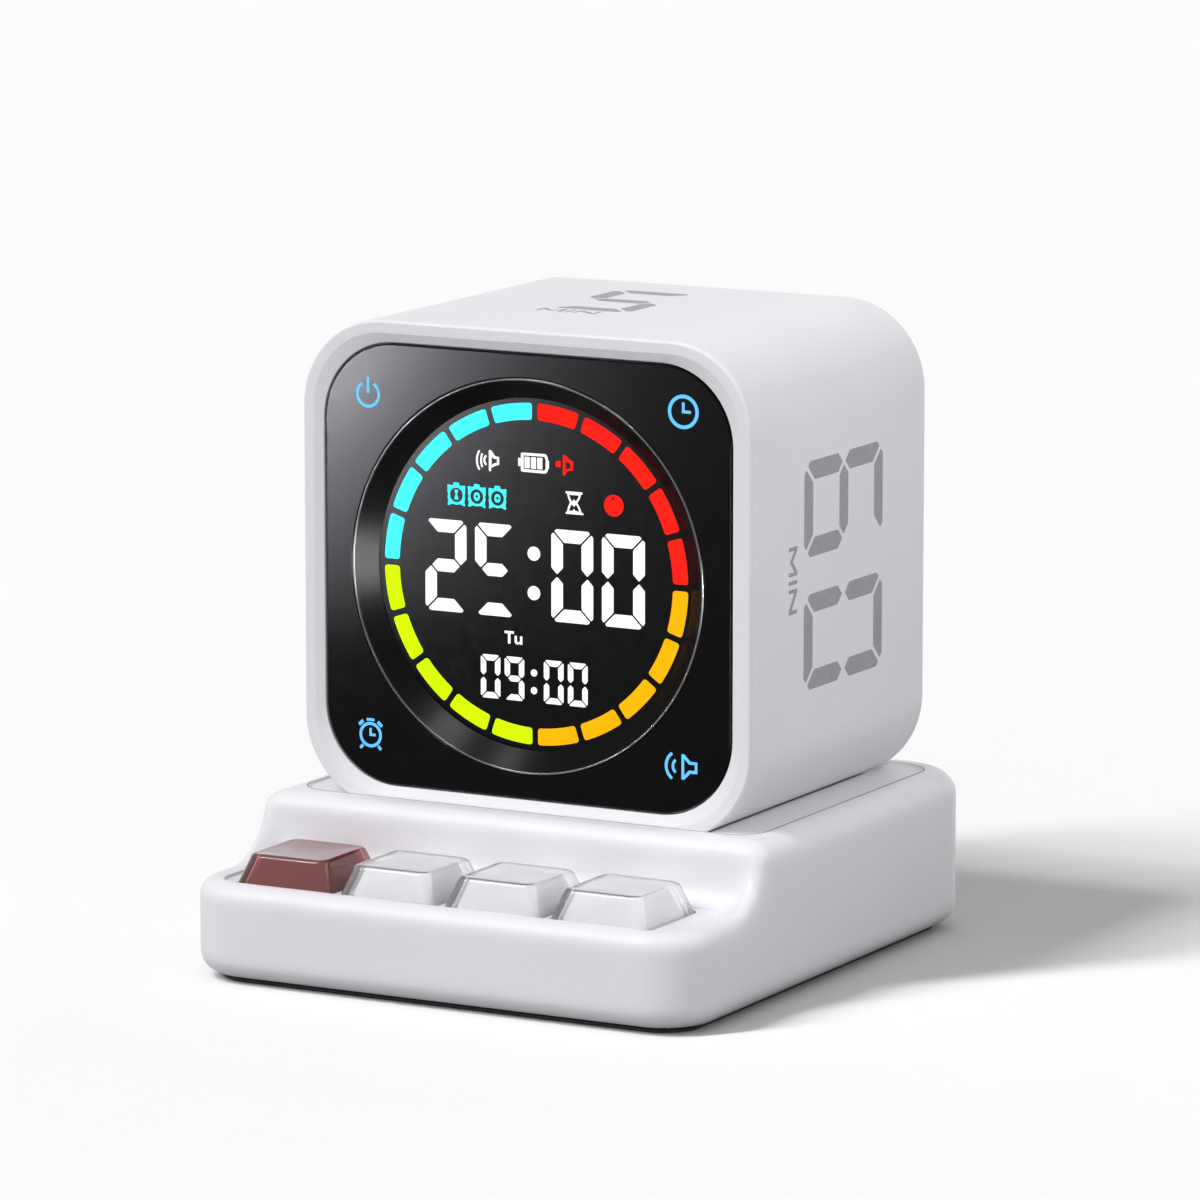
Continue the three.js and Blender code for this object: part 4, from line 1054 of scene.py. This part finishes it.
base_low, base_high = corners("base_shell")
BASE_WIDTH = base_high.x - base_low.x
BASE_DEPTH = base_high.y - base_low.y
DECK_HEIGHT = base_high.z
BASE_BOTTOM = base_low.z
RIM_HEIGHT = 16.4
STEP_Y = -25.6
BASE_CORNER = 10.0
RIM_ROUND = 3.0
DECK_ROUND = 4.6
ROUND_CHANGE = 6.0
DECK_FRONT_ROUND = 3.2
BOTTOM_ROUND = 3.6
FOOT_ROUND = 3.0
FLARE_ROUND = 10.5
FLARE_START = 40.8
FLARE_END = 45.2
GRID_STEP = 1.0
EVENING_ROUNDS = 4
SLOPE_REACH = 0.02
LEAST_SLOPE = 0.05


def joined_round(a, b, radius):
    """Union of two forms with a hollow round between them."""
    u = np.maximum(radius - a, 0)
    v = np.maximum(radius - b, 0)
    return np.maximum(radius, np.minimum(a, b)) - np.hypot(u, v)


def common_round(a, b, radius):
    """What two forms share, with a round along their edge."""
    return -joined_round(-a, -b, radius)


def smooth_share(value, start, end):
    share = np.clip((value - start) / (end - start), 0, 1)
    return share * share * (3 - 2 * share)


def base_distance(x, y, z):
    reach_x = np.abs(x) - (BASE_WIDTH / 2 - BASE_CORNER)
    reach_y = np.abs(y) - (BASE_DEPTH / 2 - BASE_CORNER)
    outside = np.hypot(np.maximum(reach_x, 0), np.maximum(reach_y, 0))
    plan = outside + np.minimum(np.maximum(reach_x, reach_y), 0) - BASE_CORNER
    deck = common_round(STEP_Y - y, z - DECK_HEIGHT, DECK_FRONT_ROUND)
    foot = FOOT_ROUND + (FLARE_ROUND - FOOT_ROUND) * smooth_share(np.abs(x), FLARE_START, FLARE_END)
    profile = joined_round(z - RIM_HEIGHT, deck, foot)
    rear_share = smooth_share(y, STEP_Y - ROUND_CHANGE, STEP_Y + ROUND_CHANGE)
    edge = RIM_ROUND + (DECK_ROUND - RIM_ROUND) * rear_share
    body = common_round(profile, plan, edge)
    return common_round(body, BASE_BOTTOM - z, BOTTOM_ROUND)


def drawn_onto(distance, points, rounds=5):
    """Moves points along the slope of a distance until they lie on its surface."""
    for _ in range(rounds):
        here = distance(*points.T)
        slope = np.empty_like(points)
        for axis, step in enumerate(np.eye(3) * SLOPE_REACH):
            slope[:, axis] = (distance(*(points + step).T) - distance(*(points - step).T)) / (2 * SLOPE_REACH)
        size = np.maximum((slope ** 2).sum(1), LEAST_SLOPE)
        points = points - slope * (here / size)[:, None]
    return points


def evened(points, faces):
    """Moves each point halfway to the middle of its neighbours."""
    total = np.zeros_like(points)
    count = np.zeros(len(points))
    for a, b in ((0, 1), (1, 2), (2, 3), (3, 0)):
        for start, end in ((a, b), (b, a)):
            np.add.at(total, faces[:, start], points[faces[:, end]])
            np.add.at(count, faces[:, start], 1)
    return (points + total / count[:, None]) / 2


def skin_of(distance, low, high, step):
    """Points and four-sided faces of the surface where a distance is zero."""
    axes = [np.arange(a - 1.5 * step, b + 2.5 * step, step) for a, b in zip(low, high)]
    inside = distance(*np.meshgrid(*axes, indexing="ij")) < 0
    cells = [n - 1 for n in inside.shape]
    count = np.zeros(cells, int)
    for corner in np.ndindex(2, 2, 2):
        count += inside[tuple(slice(c, c + n) for c, n in zip(corner, cells))]
    active = (count > 0) & (count < 8)
    index = np.full(cells, -1)
    index[active] = np.arange(active.sum())
    points = np.column_stack([axis[i] + step / 2 for axis, i in zip(axes, np.nonzero(active))])
    faces = []
    for order in ((0, 1, 2), (1, 2, 0), (2, 0, 1)):
        start = np.moveaxis(inside, order, (0, 1, 2))
        lookup = np.moveaxis(index, order, (0, 1, 2))
        first, second = start[:-1, 1:-1, 1:-1], start[1:, 1:-1, 1:-1]
        for leaves, way in ((first & ~second, 1), (~first & second, -1)):
            i, j, k = np.nonzero(leaves)
            quad = [lookup[i, j, k], lookup[i, j + 1, k], lookup[i, j + 1, k + 1], lookup[i, j, k + 1]]
            faces.append(np.column_stack(quad[::way]))
    faces = np.concatenate(faces)
    for _ in range(EVENING_ROUNDS):
        points = drawn_onto(distance, evened(points, faces), 2)
    return drawn_onto(distance, points), faces


BASE_WALL = 2.4
INNER_LIP = 4.2
HOLLOW_CORNER = 3.0
HOLLOW_OVERLAP = 0.1
TROUGH_FLOOR = 15.9
TROUGH_LENGTH = 18.7
TROUGH_SIDE_RIM = 5.2
TROUGH_CORNER = 4.0
TROUGH_LIP = 0.2
DOCK_DEPTH = 0.3
DOCK_MARGIN = 0.9
DOCK_CORNER = 5.0
DOCK_LIP = 0.12
DOCK_WIDTH = CUBE_WIDTH + 2 * DOCK_MARGIN
DOCK_LENGTH = CUBE_REAR - CUBE_FRONT + 2 * DOCK_MARGIN
RECESS_CHAMFER = 0.2
RECESS_RISE = 4.0
CRADLE_GAP = 0.3
# Gap from the dock and width of a grey line painted round it as shade
SHADE_LINE_GAP = 0.15
SHADE_LINE_WIDTH = 0.35
OPENING_INSET = 4.8
KEY_GUIDE_GAP = 0.35
KEY_GUIDE_CORNER = 2.15
FOOT_CHAMFER = 0.2
key_boxes = [corners(f"keycap_shell_{n}") for n in (1, 2, 3, 4)]
KEY_ROW_Y = (key_boxes[0][0].y + key_boxes[0][1].y) / 2
KEY_SKIRT = key_boxes[0][1].x - key_boxes[0][0].x
KEY_CENTRES = [(low.x + high.x) / 2 for low, high in key_boxes]


def flat_ring(width, depth, corner, z, centre=(0, 0), arc_steps=12, edge_steps=1):
    flat = rounded(width, depth, corner, arc_steps, edge_steps) + np.array(centre)
    return np.column_stack([flat, np.full(len(flat), z)])


def prism(width, depth, corner, low, high, centre=(0, 0), arc_steps=12):
    """Cutting form with upright walls."""
    return cutter([flat_ring(width, depth, corner, z, centre, arc_steps) for z in (low, high)])


def recess(width, depth, corner, floor, top, lip, centre):
    """Cutting form for a recess with a rounded lip."""
    section = [(-RECESS_CHAMFER, floor), (0.0, floor + RECESS_CHAMFER)]
    section += [(lip - rise, top - inset) for inset, rise in quarter_round(lip, 4)[::-1]]
    section.append((lip, top + RECESS_RISE))
    rings = [flat_ring(width + 2 * grow, depth + 2 * grow, corner + grow, z, centre) for grow, z in section]
    return cutter(rings)


def hollow_cutters(ceiling):
    """Cutting forms for the opening below, the hollow above its lip and the higher hollow under the deck."""
    lip_top = BASE_BOTTOM + INNER_LIP
    below = [size - 2 * OPENING_INSET for size in (BASE_WIDTH, BASE_DEPTH)]
    inner = [size - 2 * BASE_WALL for size in (BASE_WIDTH, BASE_DEPTH)]
    deck_front, deck_rear = STEP_Y + BASE_WALL, BASE_DEPTH / 2 - BASE_WALL
    deck_middle = (0, (deck_front + deck_rear) / 2)
    deck_ceiling = shell_low.z - CRADLE_GAP - BASE_WALL
    return [
        prism(*below, BASE_CORNER - OPENING_INSET, BASE_BOTTOM - CUT_PAST, lip_top),
        prism(*inner, BASE_CORNER - BASE_WALL, lip_top - HOLLOW_OVERLAP, ceiling),
        prism(inner[0], deck_rear - deck_front, HOLLOW_CORNER, lip_top, deck_ceiling, deck_middle),
    ]


def make_base():
    points, faces = skin_of(base_distance, base_low, base_high, GRID_STEP)
    mesh = mesh_of("blank", points, faces.tolist())
    weld(mesh)
    ceiling = TROUGH_FLOOR - BASE_WALL
    cutters = hollow_cutters(ceiling)
    cradle = (CUBE_FRONT - DOCK_MARGIN, CUBE_REAR + DOCK_MARGIN)
    cutters.append(cutter([face_ring(-CRADLE_GAP, y) for y in cradle]))
    cutters.append(recess(BASE_WIDTH - 2 * TROUGH_SIDE_RIM, TROUGH_LENGTH, TROUGH_CORNER,
                          TROUGH_FLOOR, RIM_HEIGHT, TROUGH_LIP, (0, KEY_ROW_Y)))
    cutters.append(recess(DOCK_WIDTH, DOCK_LENGTH, DOCK_CORNER,
                          DECK_HEIGHT - DOCK_DEPTH, DECK_HEIGHT, DOCK_LIP, (0, CUBE_MIDDLE)))
    guide = KEY_SKIRT + 2 * KEY_GUIDE_GAP
    for x in KEY_CENTRES:
        cutters.append(prism(guide, guide, KEY_GUIDE_CORNER, ceiling - CUT_PAST, TROUGH_FLOOR + CUT_PAST,
                             (x, KEY_ROW_Y), 6))
    blank = bpy.data.objects.new("blank", mesh)
    carved_piece("base_body", blank, cutters, "white_plastic", "base", ["base_shell"])


def make_dock_shade_line():
    """A thin grey line on the deck round the dock: painted shade for a groove's shadow and the slit under the
    cube's front edge.
    """
    loops = []
    for grow in (SHADE_LINE_GAP + SHADE_LINE_WIDTH, SHADE_LINE_GAP):
        loops.append(rounded(DOCK_WIDTH + 2 * grow, DOCK_LENGTH + 2 * grow, DOCK_CORNER + grow, 12))
    place = plane((0, CUBE_MIDDLE, DECK_HEIGHT), (1, 0, 0), (0, 1, 0))
    plate("dock_seam", loops, place, PRINT_THICKNESS, "print_grey", "base")


def make_foot():
    low, high = corners("foot_pad")
    width, depth = high.x - low.x, high.y - low.y
    corner = BASE_CORNER - (BASE_WIDTH - width) / 2
    upper = FOOT_CHAMFER / 2
    section = [(FOOT_CHAMFER, low.z), (0, low.z + FOOT_CHAMFER), (0, high.z - upper), (upper, high.z)]
    rings = [flat_ring(width - 2 * inset, depth - 2 * inset, corner - inset, z) for inset, z in section]
    loft("foot_sheet", rings, "dark_rubber", "base", ["foot_pad"])


# Keys: a clear outer cap over an inner core, both hollow and open below

KEY_TOP = key_boxes[0][1].z
KEY_TOP_WIDTH = 14.0
KEY_SHELL_WALL = 1.1
KEY_SHELL_CEILING = 0.5
KEY_DISH = 0.3
KEY_ARC_STEPS = 8
KEY_EDGE_STEPS = 10
DISH_RINGS = (0.94, 0.84, 0.7, 0.55, 0.4, 0.25, 0.1)
LEAST_CORNER = 0.3
INNER_CORNER_SHARE = 0.4
LEAST_INNER_CORNER = 0.4
CORE_GAP = 0.15
SHELL_FORM = {"inset": 0.0, "corner": 1.7, "top": KEY_TOP, "bottom": key_boxes[0][0].z,
              "edge": 0.5, "wall": KEY_SHELL_WALL, "ceiling": KEY_SHELL_CEILING}
CORE_FORM = {"inset": KEY_SHELL_WALL + SEAT_GAP, "corner": 2.3, "top": KEY_TOP - KEY_SHELL_CEILING - CORE_GAP,
             "bottom": corners("keycap_core_1")[0].z, "edge": 0.4, "wall": 1.0, "ceiling": 1.2}


def key_ring(inset, z, x, corner):
    share = max(z - TROUGH_FLOOR, 0) / (KEY_TOP - TROUGH_FLOOR)
    width = KEY_SKIRT - (KEY_SKIRT - KEY_TOP_WIDTH) * share - 2 * inset
    return flat_ring(width, width, corner, z, (x, KEY_ROW_Y), KEY_ARC_STEPS, KEY_EDGE_STEPS)


def dished(rim, x):
    """Rings that go in from a key's rim and down to the middle of its top."""
    middle = np.array([x, KEY_ROW_Y, 0])
    rings = []
    for share in DISH_RINGS:
        inner = middle + (rim - middle) * np.array([share, share, 1])
        inner[:, 2] -= KEY_DISH * (1 - share ** 2)
        rings.append(inner)
    return rings


def hollow_cap(name, x, form, slot, body, replaced):
    """A cap: up its outside, over its rounded edge to the middle of its top, and down its inside."""
    inset, corner, top, bottom = (form[key] for key in ("inset", "corner", "top", "bottom"))
    rings = [key_ring(inset, z, x, corner) for z in (bottom, TROUGH_FLOOR)]
    for draw, rise in quarter_round(form["edge"], 6):
        rings.append(key_ring(inset + draw, top - form["edge"] + rise, x, max(corner - draw, LEAST_CORNER)))
    rings += dished(rings[-1], x)
    inner_corner = max(corner - INNER_CORNER_SHARE * form["wall"], LEAST_INNER_CORNER)
    levels = (top - form["ceiling"], TROUGH_FLOOR, bottom)
    inside = [key_ring(inset + form["wall"], z, x, inner_corner) for z in levels]
    inside = dished(inside[0], x)[::-1] + inside
    points = np.concatenate(rings + inside)
    count = len(rings[0])
    faces = loft_faces(count, len(rings) + len(inside), True)
    turn = (len(rings) - 1) * count
    top_face = tuple(range(turn, turn + count))
    ceiling_face = tuple(range(turn + count, turn + 2 * count))[::-1]
    faces[turn:turn + count] = [top_face, ceiling_face]
    piece(name, points, outward(points, faces), slot, body, replaced)


def make_keys():
    for number, x in enumerate(KEY_CENTRES, start=1):
        cap, core = ("red_cap", "maroon_core") if number == 1 else ("clear_cap", "white_core")
        body = f"key_{number}"
        hollow_cap(f"cap_{number}", x, SHELL_FORM, cap, body, [f"keycap_shell_{number}"])
        hollow_cap(f"core_{number}", x, CORE_FORM, core, body, [f"keycap_core_{number}"])


# Stage

FLOOR_SIZE = 12000.0
FLOOR_SEEN = (0.8, 0.8, 0.804)
FLOOR_BOUNCE = (0.24, 0.24, 0.24)
FLOOR_ROUGHNESS = 0.9
BACKGROUND = 0.965
SKY_LEVEL = 0.19
SKY = {"X": (0.0, 0.17), "Y": (0.85, 0.3)}
KEY_AZIMUTH = -38.0
KEY_ANGLE = 7.0
KEY_STRIP = {34.0: 0.28, 43.0: 0.41, 52.0: 0.55, 61.0: 0.55}
FLOOR_SHARE = 0.71
BACK_LIGHT = {"azimuth": 180, "elevation": 0, "angle": 10, "energy": 1.3}
BOX_PLACE = Vector((190.0, -10.0, 150.0))
BOX_AIM = Vector((10.0, 10.0, 50.0))
BOX_SIDE = 160.0
BOX_ENERGY = 0.11
BLACK_PIECES = ["face_panel", "dial_funnel", "dial_edge", "window_disc"]
GLINTS = [
    {"azimuth": 50, "elevation": -10, "angle": 22, "energy": 7.6},
    {"azimuth": 11, "elevation": 57, "angle": 16, "energy": 2.2},
]
CARD_PLACE = Vector((-145.0, -279.0, 34.0))
CARD_BACK = Vector((0.0, -1.0, 0.0))
CARD_WIDTH = 110.0
CARD_HEIGHT = 62.0
CARD_FALL = (-6.1, 2.8)
CARD_ENERGY = 9.5
CARD_COLOUR = (0.93, 0.92, 1.0)


def seen_rays(tree):
    """One for rays that show a surface, and nought for those that only carry its light on."""
    path = add_node(tree, "ShaderNodeLightPath").outputs
    shown = maths(tree, "MAXIMUM", path["Is Camera Ray"], path["Is Glossy Ray"])
    return maths(tree, "MAXIMUM", shown, path["Is Transmission Ray"])


def make_floor():
    half = FLOOR_SIZE / 2
    mesh = mesh_of("floor", [(x, y, 0.0) for x, y in box_loop(-half, -half, half, half)], [range(4)])
    shader = Shader("floor", FLOOR_SEEN, FLOOR_ROUGHNESS, Specular_IOR_Level=0.0)
    shades = {"Factor": seen_rays(shader.tree), "A": opaque(FLOOR_BOUNCE), "B": opaque(FLOOR_SEEN)}
    shader.join(shader.node("ShaderNodeMix", shades, data_type="RGBA")["Result"], "Base Color")
    mesh.materials.append(shader.material)
    floor = bpy.data.objects.new("floor", mesh)
    scene.collection.objects.link(floor)


def make_world():
    """Soft light from the sides, the front and the back, behind a plain pale background."""
    world = bpy.data.worlds.new("studio")
    scene.world = world
    world.use_nodes = True
    tree = world.node_tree
    place = add_node(tree, "ShaderNodeTexCoord").outputs["Generated"]
    split = add_node(tree, "ShaderNodeSeparateXYZ", {"Vector": place}).outputs
    light = SKY_LEVEL
    for axis, (low, high) in SKY.items():
        ends = [maths(tree, "MULTIPLY", split[axis], share) for share in (-low, high)]
        light = maths(tree, "ADD", maths(tree, "MAXIMUM", *ends), light)
    mix = add_node(tree, "ShaderNodeMix", {"Factor": seen_rays(tree), "A": light, "B": BACKGROUND})
    background = tree.nodes["Background"].inputs
    background["Color"].default_value = (1.0, 1.0, 1.0, 1.0)
    tree.links.new(mix.outputs["Result"], background["Strength"])


def new_lamp(name, kind, energy, back, **settings):
    """A lamp that shines away from a direction."""
    data = bpy.data.lights.new(name, kind)
    data.energy = energy
    for key, value in settings.items():
        setattr(data, key, value)
    lamp = bpy.data.objects.new(name, data)
    scene.collection.objects.link(lamp)
    lamp.rotation_euler = back.to_track_quat("Z", "Y").to_euler()
    return lamp


def far_lamp(name, azimuth, elevation, angle, energy):
    """A soft lamp so far away that its light is parallel, with angles in degrees."""
    back = direction(math.radians(azimuth), math.radians(elevation))
    return new_lamp(name, "SUN", energy, back, angle=math.radians(angle))


def soft_box():
    """A square of soft light at the upper right."""
    lamp = new_lamp("soft_box", "AREA", BOX_ENERGY, BOX_PLACE - BOX_AIM, shape="SQUARE", size=BOX_SIDE * MM)
    lamp.location = BOX_PLACE * MM
    lamp.visible_camera = False
    return lamp


def soft_card():
    """A small card of light in front of the panel, brightest in its upper left corner."""
    size = {"shape": "RECTANGLE", "size": CARD_WIDTH * MM, "size_y": CARD_HEIGHT * MM}
    card = new_lamp("soft_card", "AREA", CARD_ENERGY, CARD_BACK, color=CARD_COLOUR, use_nodes=True, **size)
    card.location = CARD_PLACE * MM
    card.visible_camera = False
    tree = card.data.node_tree
    place = add_node(tree, "ShaderNodeNewGeometry").outputs["Parametric"]
    slope = {0: place, 1: (*CARD_FALL, 0.0)}
    along = add_node(tree, "ShaderNodeVectorMath", slope, operation="DOT_PRODUCT").outputs["Value"]
    fall = maths(tree, "EXPONENT", maths(tree, "SUBTRACT", along, max(CARD_FALL)))
    tree.links.new(fall, tree.nodes["Emission"].inputs["Strength"])
    return card


def group_of(name, pieces):
    group = bpy.data.collections.new(name)
    for piece_name in pieces:
        group.objects.link(bpy.data.objects[piece_name])
    return group


def make_lights():
    """Key lamps with copies for the floor alone, soft fill, and glints on the black pieces."""
    floor_alone = group_of("floor_alone", ["floor"])
    for n, (elevation, energy) in enumerate(KEY_STRIP.items(), start=1):
        far_lamp(f"key_light_{n}", KEY_AZIMUTH, elevation, KEY_ANGLE, energy)
        lamp = far_lamp(f"floor_light_{n}", KEY_AZIMUTH, elevation, KEY_ANGLE, energy * FLOOR_SHARE)
        lamp.light_linking.receiver_collection = floor_alone
    all_but_floor = group_of("all_but_floor", ["floor"])
    all_but_floor.collection_objects[0].light_linking.link_state = "EXCLUDE"
    soft_box().light_linking.receiver_collection = all_but_floor
    back = far_lamp("back_light", **BACK_LIGHT)
    back.data.use_shadow = False
    back.visible_glossy = False
    black = group_of("black_pieces", BLACK_PIECES)
    lamps = [far_lamp(f"glint_{n}", **glint) for n, glint in enumerate(GLINTS, start=1)]
    for lamp in [*lamps, soft_card()]:
        lamp.data.use_shadow = False
        lamp.data.cycles.use_multiple_importance_sampling = False
        lamp.light_linking.receiver_collection = black


make_camera()
make_floor()
make_world()
scene.view_settings.view_transform = "Standard"

dress_nodes()
make_sleeve()
make_bezel()
make_panel()
make_dial()
make_display()
make_touch_icons()
make_prints()
make_rear_cover()
make_screws()
make_base()
make_dock_shade_line()
make_foot()
make_keys()
make_lights()
